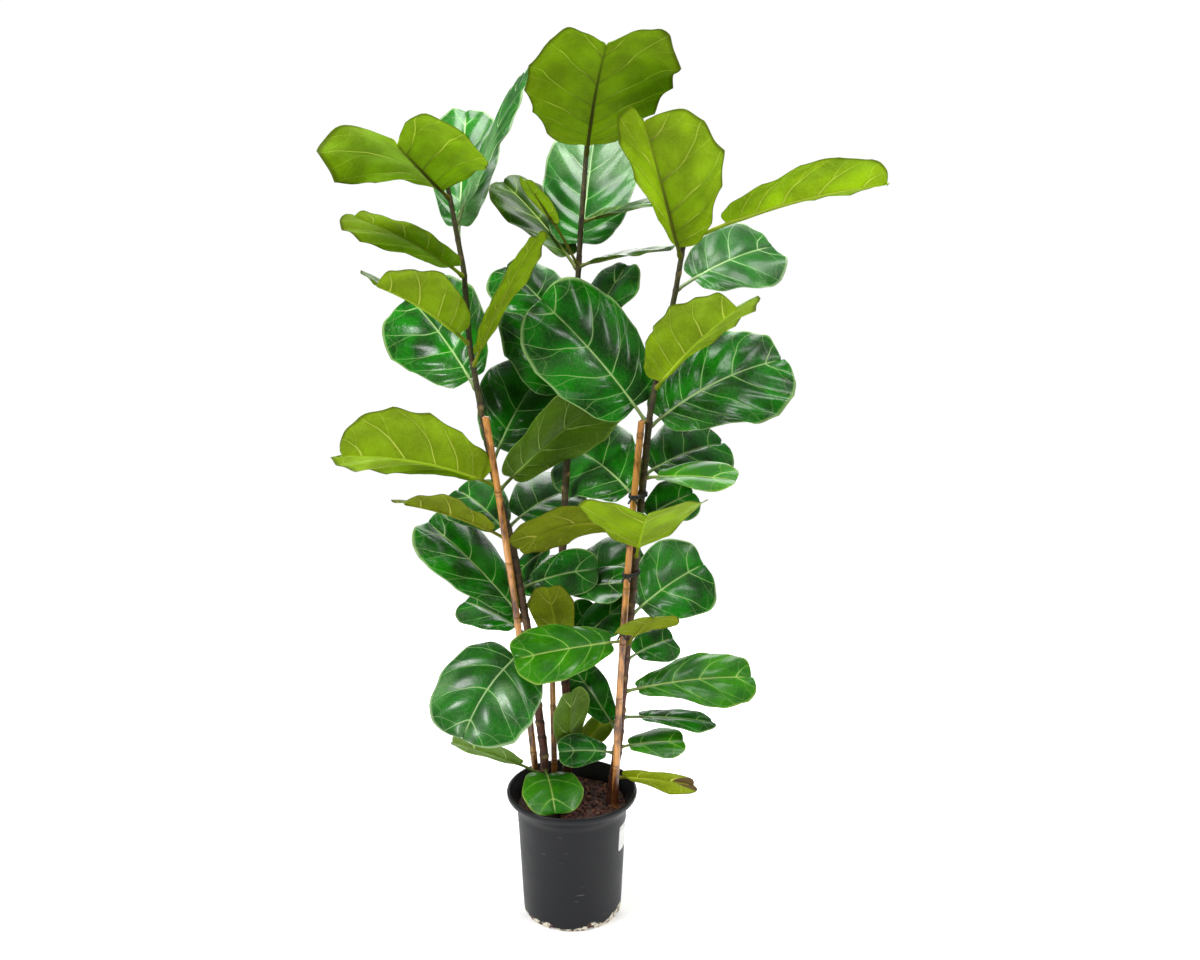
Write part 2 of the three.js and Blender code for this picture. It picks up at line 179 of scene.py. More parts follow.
class Graph:
    """The node graph of one material, built by short calls that give back sockets."""

    def __init__(self, name: str) -> None:
        """Starts an empty material.

        Args:
            name: the material's name.
        """
        self.material = bpy.data.materials.new(name)
        self.material.use_nodes = True
        self.tree = self.material.node_tree
        self.tree.nodes.clear()

    def add(self, kind: str, inputs: dict, **settings: object) -> bpy.types.Node:
        """Adds a node.

        Args:
            kind: the node's type name.
            inputs: sockets or constants for its inputs, by name or number.
            settings: its other properties.

        Returns:
            The new node.
        """
        node = self.tree.nodes.new(kind)
        for key, value in settings.items():
            setattr(node, key, value)
        for key, value in inputs.items():
            if isinstance(value, Socket):
                self.tree.links.new(value, node.inputs[key])
            else:
                node.inputs[key].default_value = value
        return node

    def attribute(self, name: str) -> Socket:
        """The piece's own point value of that name."""
        return self.add("ShaderNodeAttribute", {}, attribute_name=name).outputs["Fac"]

    def place(self, upright: float = 1.0, flat: bool = False) -> Socket:
        """Coordinates for a pattern.

        Args:
            upright: how many times denser the pattern is along Z.
            flat: True to follow the piece's own flat map, in decimetres, else object space.

        Returns:
            The stretched coordinates.
        """
        source = self.add("ShaderNodeTexCoord", {}).outputs["UV" if flat else "Object"]
        inputs = {"Vector": source, "Scale": (1.0, 1.0, upright)}
        return self.add("ShaderNodeMapping", inputs).outputs[0]

    def noise(self, place: Socket, scale: float, detail: float = 3.0,
              rough: float = 0.55) -> Socket:
        """Cloudy noise of 0 to 1."""
        inputs = {"Vector": place, "Scale": scale, "Detail": detail, "Roughness": rough}
        return self.add("ShaderNodeTexNoise", inputs).outputs[0]

    def cells(self, place: Socket, scale: float,
              feature: str = "DISTANCE_TO_EDGE") -> Socket:
        """Distance within cells: to their edges, or to their centres for feature F1."""
        node = self.add("ShaderNodeTexVoronoi", {"Vector": place, "Scale": scale}, feature=feature)
        return node.outputs["Distance"]

    def band(self, value: Socket, low: float, high: float, start: float = 0.0,
             end: float = 1.0) -> Socket:
        """Eases a value along 3t^2 - 2t^3.

        Args:
            value: what is eased.
            low: where the ramp starts.
            high: where the ramp ends.
            start: what it gives at low.
            end: what it gives at high.

        Returns:
            The eased value, flat outside the ramp.
        """
        inputs = {"Value": value, "From Min": low, "From Max": high, "To Min": start, "To Max": end}
        node = self.add("ShaderNodeMapRange", inputs, interpolation_type="SMOOTHSTEP")
        return node.outputs[0]

    def math(self, how: str, a: Value, b: Value = 0.0) -> Socket:
        """One sum, product or other operation on two numbers."""
        return self.add("ShaderNodeMath", {0: a, 1: b}, operation=how).outputs[0]

    def times(self, a: Value, b: Value) -> Socket:
        """The product of two numbers."""
        return self.math("MULTIPLY", a, b)

    def plus(self, a: Value, b: Value) -> Socket:
        """The sum of two numbers."""
        return self.math("ADD", a, b)

    def mix(self, share: Value, a: Value, b: Value) -> Socket:
        """The colour that is share of the way from a to b."""
        inputs = {0: share, 6: linear(a), 7: linear(b)}
        return self.add("ShaderNodeMix", inputs, data_type="RGBA").outputs[2]

    def lit(self, colour: Value, value: Value, saturation: float = 1.0) -> Socket:
        """A colour made brighter or darker, and richer or duller."""
        inputs = {"Color": linear(colour), "Value": value, "Saturation": saturation}
        return self.add("ShaderNodeHueSaturation", inputs).outputs[0]

    def bump(self, height: Value, distance: float, strength: float = 1.0) -> Socket:
        """The normal of a surface raised by height times distance, in metres."""
        inputs = {"Height": height, "Distance": distance, "Strength": strength}
        return self.add("ShaderNodeBump", inputs).outputs[0]

    def surface(self, colour: Value, roughness: Value, normal: Value,
                fixed: dict | None = None) -> Socket:
        """A coated or plain reflecting skin.

        Args:
            colour: its base colour.
            roughness: how dull it is.
            normal: its bumped normal.
            fixed: constants for the shader's other sockets.

        Returns:
            The shader's socket.
        """
        inputs = {"Base Color": colour, "Roughness": roughness, "Normal": normal, **(fixed or {})}
        return self.add("ShaderNodeBsdfPrincipled", inputs).outputs[0]

    def done(self, shader: Socket) -> Material:
        """Joins the last shader to the output and gives the material."""
        self.add("ShaderNodeOutputMaterial", {"Surface": shader})
        return self.material


@dataclass(frozen=True)
class LeafFinish:
    """Leaf skin of one age: a waxy upper face, a duller under face, pale veins and a rib.

    The blade's point values steer it: phase counts the side veins from base to tip, edge runs
    from rib to margin, face is 1 above and 0 below, rib marks the stalk, tint is how much lighter
    or darker the whole leaf is (its own tone, and a painted shade on leaves deep inside the plant),
    dark how brown its rib is and dry how far its tip has dried. Glow is how much light comes
    through the leaf, painted sheen how much painted reflection lies as pale patches between the
    veins of its upper face, coat how varnished and shine how mirror-like its upper face is. A
    margin paler than the face is a painted highlight along the edge; a darker one is the leaf's
    own edge.
    """

    name: str
    upper: Rgb
    deep: Rgb
    lower: Rgb
    vein: Rgb
    margin: Rgb
    roughness: float
    glow: float
    painted_sheen: float
    coat: float
    shine: float

    @staticmethod
    def _veins(g: Graph, map_: Socket) -> tuple[Socket, ...]:
        """Draws the side veins, the forks that leave them and the loops that join them.

        Args:
            g: the graph.
            map_: the blade's own flat map.

        Returns:
            How much of a vein, and how near to a side vein, each place is, 0 to 1.
        """
        edge = g.attribute("edge")
        sway = g.band(g.noise(map_, 1.3, 1.0), 0.25, 0.75, -0.07, 0.07)
        phase = g.plus(g.attribute("phase"), sway)
        away = g.math("PINGPONG", phase, 0.5)
        slim = g.band(edge, 0.0, 1.0, 1.0, 0.3)
        side = g.band(g.math("DIVIDE", away, slim), 0.011, 0.034, 1.0, 0.0)
        forked = g.math("PINGPONG", g.plus(phase, g.band(edge, 0.4, 1.1, 0.0, 0.6)), 0.5)
        fork = g.band(forked, 0.007, 0.022, 0.34, 0.0)
        arch = g.times(g.math("COSINE", g.times(phase, TURN)), 0.05)
        past = g.math("ABSOLUTE", g.math("SUBTRACT", g.math("SUBTRACT", edge, arch), 0.86))
        loop = g.band(past, 0.004, 0.013, 0.16, 0.0)
        line = g.math("MAXIMUM", side, g.math("MAXIMUM", fork, loop))
        line = g.times(line, g.band(edge, 0.0, 0.03))
        halo = g.times(g.band(away, 0.0, 0.2, 1.0, 0.0), g.band(edge, 0.2, 1.0, 1.0, 0.5))
        return line, halo

    def build(self) -> Material:
        """Makes the material: an upper and a lower face, then what both of them share.

        Returns:
            The leaf skin.
        """
        g = Graph(self.name)
        map_ = g.place(flat=True)
        vein, halo = self._veins(g, map_)
        edge, face, rib = g.attribute("edge"), g.attribute("face"), g.attribute("rib")
        dark = g.attribute("dark")
        patch = g.noise(map_, 1.6, 3.0)
        grain = g.noise(map_, 30.0, 4.0, 0.6)
        net = g.band(g.cells(map_, 11.0), 0.0, 0.06, 1.0, 0.0)
        fine_net = g.band(g.cells(map_, 24.0), 0.0, 0.09, 1.0, 0.0)
        pale, brown = self.vein, RIB_BROWN
        between = g.math("SUBTRACT", 1.0, halo)
        near_rib = g.times(dark, g.band(edge, 0.08, 0.5, 0.85, 0.0))
        line = g.mix(near_rib, pale, brown)

        upper = g.mix(g.band(patch, 0.32, 0.68), self.deep, self.upper)
        upper = g.lit(upper, g.band(halo, 0.0, 1.0, 1.0, 1.35))
        upper = g.mix(g.times(net, 0.07), upper, pale)
        upper = g.mix(g.times(fine_net, 0.04), upper, pale)
        # Painted reflection: pale patches between the veins of the upper face, standing in for
        # lamps glinting off its waxy quilting.
        sheen_mask = g.band(g.noise(map_, 0.75, 1.0), 0.5, 0.66, 0.0, self.painted_sheen)
        sheen_mask = g.times(sheen_mask, g.band(grain, 0.35, 0.62, 0.45, 1.0))
        upper = g.mix(g.times(sheen_mask, between), upper, PAINTED_SHEEN_TONE)
        upper = g.mix(g.times(vein, 0.72), upper, line)

        lower = g.mix(g.band(patch, 0.3, 0.7), g.lit(self.lower, 0.66), self.lower)
        lower = g.lit(lower, g.band(halo, 0.0, 0.9, 1.0, 0.84))
        lower = g.mix(g.times(net, 0.16), lower, pale)
        lower = g.mix(g.times(fine_net, 0.06), lower, pale)
        lower = g.mix(g.times(vein, 0.85), lower, line)

        skin = g.mix(face, lower, upper)
        # A band along the margin: a paler margin colour is a painted highlight on the edge, a
        # darker one the leaf's own edge.
        skin = g.mix(g.band(edge, 0.94, 0.99, 0.0, 0.75), skin, self.margin)
        stalk = g.mix(g.times(dark, 0.9), g.mix(face, self.lower, pale), brown)
        skin = g.mix(rib, skin, stalk)
        # Tint lightens or darkens the whole leaf: its own tone, and a painted shade on leaves deep
        # inside the plant.
        shade = g.plus(g.times(g.attribute("tint"), 0.42), 1.0)
        skin = g.lit(skin, g.times(shade, g.band(grain, 0.2, 0.8, 0.94, 1.06)))
        blotch = g.plus(g.attribute("dry"), g.band(patch, 0.3, 0.7, -0.25, 0.2))
        skin = g.mix(g.band(blotch, 0.45, 0.62), skin, DRIED)

        dull = g.times(g.band(face, 0.0, 1.0, 1.0, 0.0), 0.2)
        wax = g.band(patch, 0.3, 0.7, self.roughness + 0.07, self.roughness - 0.05)
        rough = g.plus(wax, dull)
        relief = g.plus(g.times(net, -0.15), g.times(grain, 0.12))
        relief = g.math("SUBTRACT", relief, g.times(vein, 0.5))
        normal = g.bump(relief, 0.001, 0.6)
        fixed = {"Coat Weight": self.coat, "Coat Roughness": 0.14, "Specular IOR Level": self.shine}
        solid = g.surface(skin, rough, normal, fixed)
        warm = g.mix(0.3, g.lit(skin, 1.3, 1.1), LIGHT_THROUGH)
        sheer = g.add("ShaderNodeBsdfTranslucent", {"Color": warm}).outputs[0]
        return g.done(g.add("ShaderNodeMixShader", {0: self.glow, 1: solid, 2: sheer}).outputs[0])


@dataclass(frozen=True)
class BarkFinish:
    """Young fig bark: red-brown low down, olive higher up, ringed and scarred at its nodes."""

    name: str = "bark"
    low: Rgb = (92, 46, 30)
    high: Rgb = (66, 62, 32)
    ring: Rgb = (44, 28, 20)
    scar: Rgb = (176, 150, 96)
    patch: Rgb = (128, 104, 72)
    pore: Rgb = (150, 124, 90)

    def build(self) -> Material:
        """Makes the material from the stem's climb, node and scar values.

        Returns:
            The bark.
        """
        g = Graph(self.name)
        streak = g.noise(g.place(0.14), 260.0, 5.0, 0.65)
        patch = g.noise(g.place(), 42.0, 4.0)
        skin = g.mix(g.band(g.attribute("climb"), 0.1, 0.6), self.low, self.high)
        skin = g.lit(skin, g.band(streak, 0.3, 0.7, 0.62, 1.3))
        skin = g.mix(g.band(patch, 0.55, 0.7, 0.0, 0.5), skin, self.patch)
        pores = g.band(g.cells(g.place(0.6), 240.0, "F1"), 0.12, 0.22, 0.7, 0.0)
        skin = g.mix(pores, skin, self.pore)
        skin = g.mix(g.times(g.attribute("node"), 0.85), skin, self.ring)
        skin = g.mix(g.times(g.attribute("scar"), 0.8), skin, self.scar)
        height = g.plus(streak, g.times(pores, 0.6))
        return g.done(g.surface(skin, g.band(patch, 0.3, 0.7, 0.5, 0.72), g.bump(height, 0.0012)))


@dataclass(frozen=True)
class BambooFinish:
    """Dry bamboo: golden tan with long fibres, a dark line at each node and smoky mottling."""

    name: str = "bamboo"
    light: Rgb = (224, 154, 78)
    warm: Rgb = (96, 50, 18)
    node: Rgb = (64, 38, 20)

    def build(self) -> Material:
        """Makes the material from the cane's node value and its place.

        Returns:
            The bamboo.
        """
        g = Graph(self.name)
        fibre = g.noise(g.place(0.025), 420.0, 4.0, 0.6)
        smoke = g.noise(g.place(0.35), 38.0, 4.0)
        skin = g.mix(g.band(smoke, 0.45, 0.62), self.light, self.warm)
        skin = g.lit(skin, g.band(fibre, 0.3, 0.7, 0.8, 1.12))
        specks = g.band(g.noise(g.place(0.5), 150.0, 3.0), 0.66, 0.74, 0.0, 0.75)
        skin = g.mix(specks, skin, self.node)
        skin = g.mix(g.times(g.attribute("node"), 0.9), skin, self.node)
        rough = g.band(smoke, 0.3, 0.7, 0.22, 0.4)
        return g.done(g.surface(skin, rough, g.bump(fibre, 0.0003), {"Coat Weight": 0.6,
                                                                     "Coat Roughness": 0.18}))


@dataclass(frozen=True)
class SoilFinish:
    """Moist red-brown bark and peat: paler chips, white grit, painted shade in its hollows."""

    name: str = "potting_soil"
    base: Rgb = (84, 38, 26)
    # Colour of the painted shade in the soil's hollows.
    dark: Rgb = (34, 20, 16)
    chip: Rgb = (126, 74, 48)
    grit: Rgb = (214, 200, 178)

    def build(self) -> Material:
        """Makes the material from the soil's shade value and its place.

        Returns:
            The potting soil.
        """
        g = Graph(self.name)
        crumb = g.noise(g.place(), 190.0, 6.0, 0.7)
        clump = g.cells(g.place(), 150.0, "F1")
        # Darker where the crumb noise is low, which is also where the bump sinks: a painted shade
        # in the hollows.
        skin = g.mix(g.band(crumb, 0.38, 0.62), self.dark, self.base)
        skin = g.mix(g.band(g.attribute("shade"), 0.3, 1.0), skin, self.chip)
        grit = g.band(g.cells(g.place(), 330.0, "F1"), 0.1, 0.16, 1.0, 0.0)
        grit = g.times(grit, g.band(g.noise(g.place(), 60.0), 0.5, 0.6))
        skin = g.mix(grit, skin, self.grit)
        height = g.plus(crumb, g.times(clump, -0.8))
        return g.done(g.surface(skin, g.band(crumb, 0.3, 0.7, 0.7, 0.95), g.bump(height, 0.003)))


@dataclass(frozen=True)
class PotFinish:
    """Black moulded plastic with a soft sheen, scratches, and dried mud round its foot."""

    name: str = "pot_plastic"
    body: Rgb = (21, 22, 26)
    scratch: Rgb = (150, 150, 152)
    mud: Rgb = (236, 228, 208)
    earth: Rgb = (104, 74, 58)

    def build(self) -> Material:
        """Makes the material from the pot's place alone.

        Returns:
            The pot's plastic.
        """
        g = Graph(self.name)
        cloud = g.noise(g.place(), 16.0, 4.0)
        grain = g.noise(g.place(), 900.0, 2.0)
        skin = g.lit(self.body, g.band(cloud, 0.3, 0.7, 0.86, 1.14))
        scratch = g.noise(g.place(5.0), 34.0, 5.0, 0.7)
        where = g.noise(g.place(), 11.0, 2.0)
        marks = g.times(g.band(scratch, 0.6, 0.68), g.band(where, 0.58, 0.66))
        skin = g.mix(g.times(marks, 0.5), skin, self.scratch)
        parts = g.add("ShaderNodeSeparateXYZ", {0: g.place()}).outputs
        high = g.band(g.noise(g.place(0.1), 14.0, 1.0), 0.35, 0.65, 0.012, 0.04)
        low = g.band(g.math("DIVIDE", parts["Z"], high), 0.3, 1.0, 1.0, 0.0)
        ragged = g.times(low, g.noise(g.place(0.7), 70.0, 6.0, 0.7))
        crust = g.band(ragged, 0.4, 0.45)
        stain = g.mix(g.band(g.noise(g.place(), 110.0), 0.5, 0.58), self.mud, self.earth)
        skin = g.mix(g.times(crust, 0.92), skin, stain)
        rough = g.plus(g.band(cloud, 0.3, 0.7, 0.4, 0.5), g.times(crust, 0.4))
        height = g.plus(g.times(grain, 0.2), g.times(crust, 1.5))
        dim = {"Specular IOR Level": 0.28}
        return g.done(g.surface(skin, rough, g.bump(height, 0.0005, 0.8), dim))


@dataclass(frozen=True)
class PlainFinish:
    """A plain moulded skin or film, softly mottled and faintly grained."""

    name: str
    colour: Rgb
    roughness: float
    grain: float = 300.0

    def build(self) -> Material:
        """Makes the material.

        Returns:
            The plain skin.
        """
        g = Graph(self.name)
        cloud = g.noise(g.place(), self.grain * 0.2, 3.0)
        grain = g.noise(g.place(), self.grain, 3.0)
        skin = g.lit(self.colour, g.band(cloud, 0.3, 0.7, 0.9, 1.06))
        rough = g.band(cloud, 0.3, 0.7, self.roughness - 0.06, self.roughness + 0.08)
        return g.done(g.surface(skin, rough, g.bump(grain, 0.0003, 0.6)))


# Columns: name, upper, deep, lower, vein, margin, roughness, glow, painted sheen, coat, shine. A
# paler margin is a painted highlight; the painted sheen is a painted reflection.
LEAF_FINISHES: dict[Tone, LeafFinish] = {
    Tone.MATURE: LeafFinish("leaf_mature", (10, 128, 0), (0, 62, 0), (80, 130, 12),
                            (178, 216, 132), (160, 198, 120), 0.2, 0.1, 0.1, 0.08, 0.26),
    Tone.PAINTED_SILVER: LeafFinish("leaf_painted_silver", (20, 116, 6), (4, 76, 2), (80, 130, 22),
                              (176, 210, 142), (176, 206, 150), 0.3, 0.08, 0.5, 0.15, 0.4),
    Tone.FRESH: LeafFinish("leaf_fresh", (58, 148, 3), (20, 108, 2), (100, 144, 6),
                           (190, 222, 116), (156, 192, 80), 0.28, 0.2, 0.06, 0.1, 0.32),
    Tone.YOUNG: LeafFinish("leaf_young", (130, 172, 8), (82, 130, 4), (170, 206, 0),
                           (232, 238, 104), (96, 112, 10), 0.38, 0.36, 0.0, 0.0, 0.2),
    Tone.AGED: LeafFinish("leaf_aged", (152, 174, 4), (104, 132, 2), (142, 160, 4),
                          (220, 216, 96), (100, 92, 22), 0.45, 0.32, 0.0, 0.0, 0.15),
    Tone.OLIVE: LeafFinish("leaf_olive", (54, 96, 4), (22, 62, 2), (70, 104, 8),
                           (150, 176, 70), (96, 110, 30), 0.32, 0.12, 0.0, 0.1, 0.25),
}

LEAF_SLOTS: dict[Tone, str] = {
    Tone.MATURE: "leaf_mature",
    Tone.PAINTED_SILVER: "leaf_mature",
    Tone.FRESH: "leaf_fresh",
    Tone.YOUNG: "leaf_young",
    Tone.AGED: "leaf_aged",
    Tone.OLIVE: "leaf_mature",
}


# ---------------------------------------------------------------------------------------------
# Surfaces


@dataclass
class Skin:
    """A closed surface being put together, with its point values and flat map."""

    points: Array
    quads: Array
    triangles: Array
    values: dict[str, Array] = field(default_factory=dict)
    flat: Array | None = None

    def joined(self, other: Skin) -> Skin:
        """Puts two skins together; a value that one of them lacks is 0 there.

        Args:
            other: the skin that is added.

        Returns:
            One skin that holds both.
        """
        count, more = len(self.points), len(other.points)
        values = {
            key: np.concatenate([
                self.values.get(key, np.zeros(count)), other.values.get(key, np.zeros(more))
            ])
            for key in {**self.values, **other.values}
        }
        flats = [
            skin.flat if skin.flat is not None else np.zeros((len(skin.points), 2))
            for skin in (self, other)
        ]
        return Skin(
            np.concatenate([self.points, other.points]),
            np.concatenate([self.quads, other.quads + count]),
            np.concatenate([self.triangles, other.triangles + count]),
            values,
            np.concatenate(flats),
        )


def tube(rings: Array, start: Array, end: Array) -> Skin:
    """Closes a row of rings into a skin, with a fan to one point at each end.

    Args:
        rings: points by ring, by place around it, turning anticlockwise as seen from the end.
        start: the point that closes the first ring.
        end: the point that closes the last ring.

    Returns:
        The closed skin, its points in ring order and then start and end.
    """
    count, around, _ = rings.shape
    i, j = np.meshgrid(np.arange(count - 1), np.arange(around), indexing="ij")
    a = i * around + j
    b = i * around + (j + 1) % around
    quads = np.stack([a, b, b + around, a + around], axis=-1).reshape(-1, 4)
    k = np.arange(around)
    after = (k + 1) % around
    first = np.full(around, count * around)
    last = (count - 1) * around
    triangles = np.concatenate([
        np.stack([first, after, k], axis=-1),
        np.stack([first + 1, last + k, last + after], axis=-1),
    ])
    points = np.concatenate([rings.reshape(-1, 3), [start], [end]])
    return Skin(points, quads, triangles)


def hoops(centre: Array, side: Array, rise: Array, radius: Array | float, turn: Array) -> Array:
    """Rings along a path: centre + radius (side cos t + rise sin t).

    Args:
        centre: the path's points.
        side: unit directions where t is 0.
        rise: unit directions where t is a quarter turn.
        radius: one for all rings, or one for each.
        turn: the angles t.

    Returns:
        The rings' points, by ring and by angle.
    """
    reach = np.reshape(radius, (-1, 1, 1))
    cos, sin = np.cos(turn)[:, None], np.sin(turn)[:, None]
    return centre[:, None, :] + reach * (cos * side[:, None, :] + sin * rise[:, None, :])


def turned(profile: Array, sides: int) -> Skin:
    """Turns a profile about the vertical axis: (r cos t, r sin t, z).

    Args:
        profile: radius and height pairs, the first and the last on the axis.
        sides: how many steps round the axis.

    Returns:
        The closed skin, its rings in the profile's order.
    """
    radius, height = profile[1:-1, 0, None, None], profile[1:-1, 1, None, None]
    rings = radius * facing(circle(sides)) + height * UP
    return tube(rings, profile[0, 1] * UP, profile[-1, 1] * UP)


def slab(upper: Array, lower: Array) -> Skin:
    """Closes two facing grids of the same shape into a thin slab, with a strip round the rim.

    Args:
        upper: points by row and column, seen from above with rows forward and columns to the
            left.
        lower: the matching points underneath.

    Returns:
        The closed skin, upper points first.
    """
    rows, columns, _ = upper.shape
    index = np.arange(rows * columns).reshape(rows, columns)
    a, b, c, d = index[:-1, :-1], index[1:, :-1], index[1:, 1:], index[:-1, 1:]
    top = np.stack([a, b, c, d], axis=-1).reshape(-1, 4)
    under = top[:, ::-1] + rows * columns
    rim = np.concatenate([index[:-1, 0], index[-1, :-1], index[:0:-1, -1], index[0, :0:-1]])
    after = np.roll(rim, -1)
    step = rows * columns
    edge = np.stack([rim, rim + step, after + step, after], axis=-1)
    points = np.concatenate([upper.reshape(-1, 3), lower.reshape(-1, 3)])
    quads = np.concatenate([top, under, edge])
    return Skin(points, quads, np.zeros((0, 3), dtype=int))


def through(points: Array, count: int) -> Array:
    """A smooth curve through points: Catmull-Rom pieces, evenly stepped.

    Args:
        points: the points that it passes through.
        count: how many points it gets.

    Returns:
        The curve's points.
    """
    ghost = np.concatenate([[2 * points[0] - points[1]], points, [2 * points[-1] - points[-2]]])
    t = np.linspace(0.0, len(points) - 1.0, count)
    k = np.minimum(t.astype(int), len(points) - 2)
    t = (t - k)[:, None]
    p0, p1, p2, p3 = ghost[k], ghost[k + 1], ghost[k + 2], ghost[k + 3]
    return 0.5 * (2 * p1 + (p2 - p0) * t + (2 * p0 - 5 * p1 + 4 * p2 - p3) * t**2
                  + (3 * p1 - p0 - 3 * p2 + p3) * t**3)


def shell(name: str, skin: Skin) -> bpy.types.Mesh:
    """A skin as a mesh, in metres.

    Args:
        name: the mesh's name.
        skin: its surface, in millimetres.

    Returns:
        The new mesh.
    """
    mesh = bpy.data.meshes.new(name)
    faces = skin.quads.tolist() + skin.triangles.tolist()
    mesh.from_pydata((skin.points * METRES).tolist(), [], faces)
    return mesh


def shown(name: str, data: bpy.types.ID) -> bpy.types.Object:
    """A new object that shows a mesh, lamp or camera in the scene.

    Args:
        name: the object's name.
        data: what it shows.

    Returns:
        The new object.
    """
    thing = bpy.data.objects.new(name, data)
    bpy.context.scene.collection.objects.link(thing)
    return thing


def make_piece(name: str, skin: Skin, material: Material,
               nodes: Sequence[str] = ()) -> bpy.types.Object:
    """Makes a piece of the object from a skin and hangs it on the frame.

    Args:
        name: the piece's name.
        skin: its closed surface, in millimetres.
        material: its finish.
        nodes: the frame's nodes that it stands for.

    Returns:
        The new object.
    """
    mesh = shell(name, skin)
    mesh.polygons.foreach_set("use_smooth", np.ones(len(mesh.polygons), dtype=bool))
    for key, value in skin.values.items():
        layer = mesh.attributes.new(key, "FLOAT", "POINT")
        layer.data.foreach_set("value", np.ascontiguousarray(value, dtype=np.float32))
    if skin.flat is not None:
        vertices = np.zeros(len(mesh.loops), dtype=np.int32)
        mesh.loops.foreach_get("vertex_index", vertices)
        layer = mesh.uv_layers.new(name="flat")
        layer.data.foreach_set("uv", skin.flat[vertices].astype(np.float32).ravel())
    mesh.materials.append(material)
    mesh.update()
    piece = shown(name, mesh)
    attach(piece, BODY)
    if nodes:
        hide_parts(*nodes)
    LOG.info("%s: %d points, %d faces", name, len(skin.points), len(mesh.polygons))
    return piece


class Piece(ABC):
    """A part of the plant with one finish, which stands for the node that it is named after."""

    @abstractmethod
    def skin(self) -> Skin:
        """Its closed surface, in millimetres."""

    @abstractmethod
    def names(self) -> tuple[str, str, str]:
        """Its node, its piece's ending and its slot."""

    def build(self, material: Material) -> bpy.types.Object:
        """Makes the piece; an inner leaf stands for no node.

        Args:
            material: its finish.

        Returns:
            The new object.
        """
        node, ending, slot = self.names()
        nodes = [] if node.startswith("inner") else [node]
        return make_piece(f"{node}_{ending}", self.skin(), material, nodes)


# ---------------------------------------------------------------------------------------------
# Stems, canes and ties


@dataclass(frozen=True)
class StemForm:
    """A stem's line from soil to tip and its radius at each end, in millimetres."""

    name: str
    path: tuple[tuple[float, float, float], ...]
    base_radius: float
    top_radius: float

    def centre(self, height: Array | float) -> Array:
        """The middle of the stem: straight between its path's points, and on past the last one.

        Args:
            height: one height or many.

        Returns:
            A point for each height.
        """
        x, y, z = np.array(self.path, dtype=float).T
        height = np.asarray(height, dtype=float)
        level = np.stack([np.interp(height, z, x), np.interp(height, z, y), height], axis=-1)
        lean = (np.array(self.path[-1], dtype=float) - self.path[-2]) / (z[-1] - z[-2])
        over = np.maximum(height - z[-1], 0.0)[..., None]
        return level + over * np.array([lean[0], lean[1], 0.0])

    def radius(self, height: Array | float) -> Array:
        """The stem's radius, which tapers evenly from the soil to the tip.

        Args:
            height: one height or many.

        Returns:
            A radius for each height.
        """
        low, high = self.path[1][2], self.path[-1][2]
        share = (np.asarray(height, dtype=float) - low) / (high - low)
        return self.base_radius + (self.top_radius - self.base_radius) * share


@dataclass
class Stem(Piece):
    """A ringed, scarred stem that ends in a pointed bud."""

    form: StemForm
    nodes: list[tuple[float, float]]
    seed: int
    around: int = 24
    step: float = 3.0
    bud: float = 26.0
    eased_rows: int = 8
    first_scar: float = 255.0
    clear_of_leaf: float = 17.0

    def skin(self) -> Skin:
        """Level rings of radius r(z)(1 + node swellings + ripples) along an eased centre line.

        Returns:
            The closed bark, with its climb, node and scar values.
        """
        low, high = self.form.path[0][2], self.form.path[-1][2]
        z = np.arange(low, high + self.bud - 0.6, self.step)
        rows = self.eased_rows
        kernel = bell(np.arange(-rows, rows + 1) * self.step, 12.0)
        raw = self.form.centre(z)
        padded = np.pad(raw[:, :2], ((rows, rows), (0, 0)), mode="edge")
        inner = slice(rows, -rows)
        eased = raw.copy()
        for axis in (0, 1):
            line = np.convolve(padded[:, axis], kernel / kernel.sum(), mode="valid")
            eased[inner, axis] = line[inner]
        over = np.clip((z - high) / self.bud, 0.0, 1.0)
        radius = self.form.radius(np.minimum(z, high)) * (1.0 + 0.35 * bell(over - 0.22, 0.16))
        radius = radius * np.sqrt(np.clip(1.0 - over**1.6, 0.006, 1.0))
        turn = circle(self.around)
        swell = np.zeros((len(z), self.around))
        node = np.zeros(len(z))
        scar = np.zeros((len(z), self.around))
        for height, heading in self._rings(high):
            near = z - height
            swell += (0.13 * bell(near + 1.0, 5.0) - 0.07 * bell(near - 5.0, 2.4))[:, None]
            node = np.maximum(node, bell(near - 4.6, 2.6))
            side = np.angle(np.exp(1j * (turn - np.radians(heading))))
            spot = bell(side, 0.75)[None, :] * bell(near + 0.5, 4.0)[:, None]
            swell += 0.1 * spot
            scar = np.maximum(scar, spot)
        swell += 0.05 * ripples(turn[None, :] * 3.0, z[:, None] * 0.08, self.seed, 4.0)
        reach = radius[:, None] * (1.0 + swell * (1.0 - over)[:, None])
        rings = eased[:, None, :] + reach[..., None] * facing(turn)
        skin = tube(rings, eased[0], self.form.centre(high + self.bud))
        climb = (z - SOIL_LEVEL) / (high - SOIL_LEVEL)
        grid = np.ones(self.around)
        skin.values = {
            "climb": np.append(np.outer(climb, grid), [0.0, 1.0]),
            "node": np.append(np.outer(node, grid), [0.0, 0.0]),
            "scar": np.append(scar * (1.0 - over)[:, None], [0.0, 0.0]),
        }
        return skin

    def _rings(self, high: float) -> list[tuple[float, float]]:
        """Places the leaf joints, and the scars of leaves long gone between them.

        Args:
            high: the height of the stem's tip.

        Returns:
            Their heights and headings.
        """
        rng = np.random.default_rng(self.seed)
        rings = list(self.nodes)
        height, heading = self.first_scar, 20.0
        while height < high - 12.0:
            if all(abs(height - taken) > self.clear_of_leaf for taken, _ in self.nodes):
                rings.append((height, heading))
            height += rng.uniform(24.0, 44.0)
            heading += GOLDEN_ANGLE
        return rings

    def names(self) -> tuple[str, str, str]:
        """Its node, its piece's ending and its slot."""
        return f"stem_{self.form.name}", "bark", "bark"


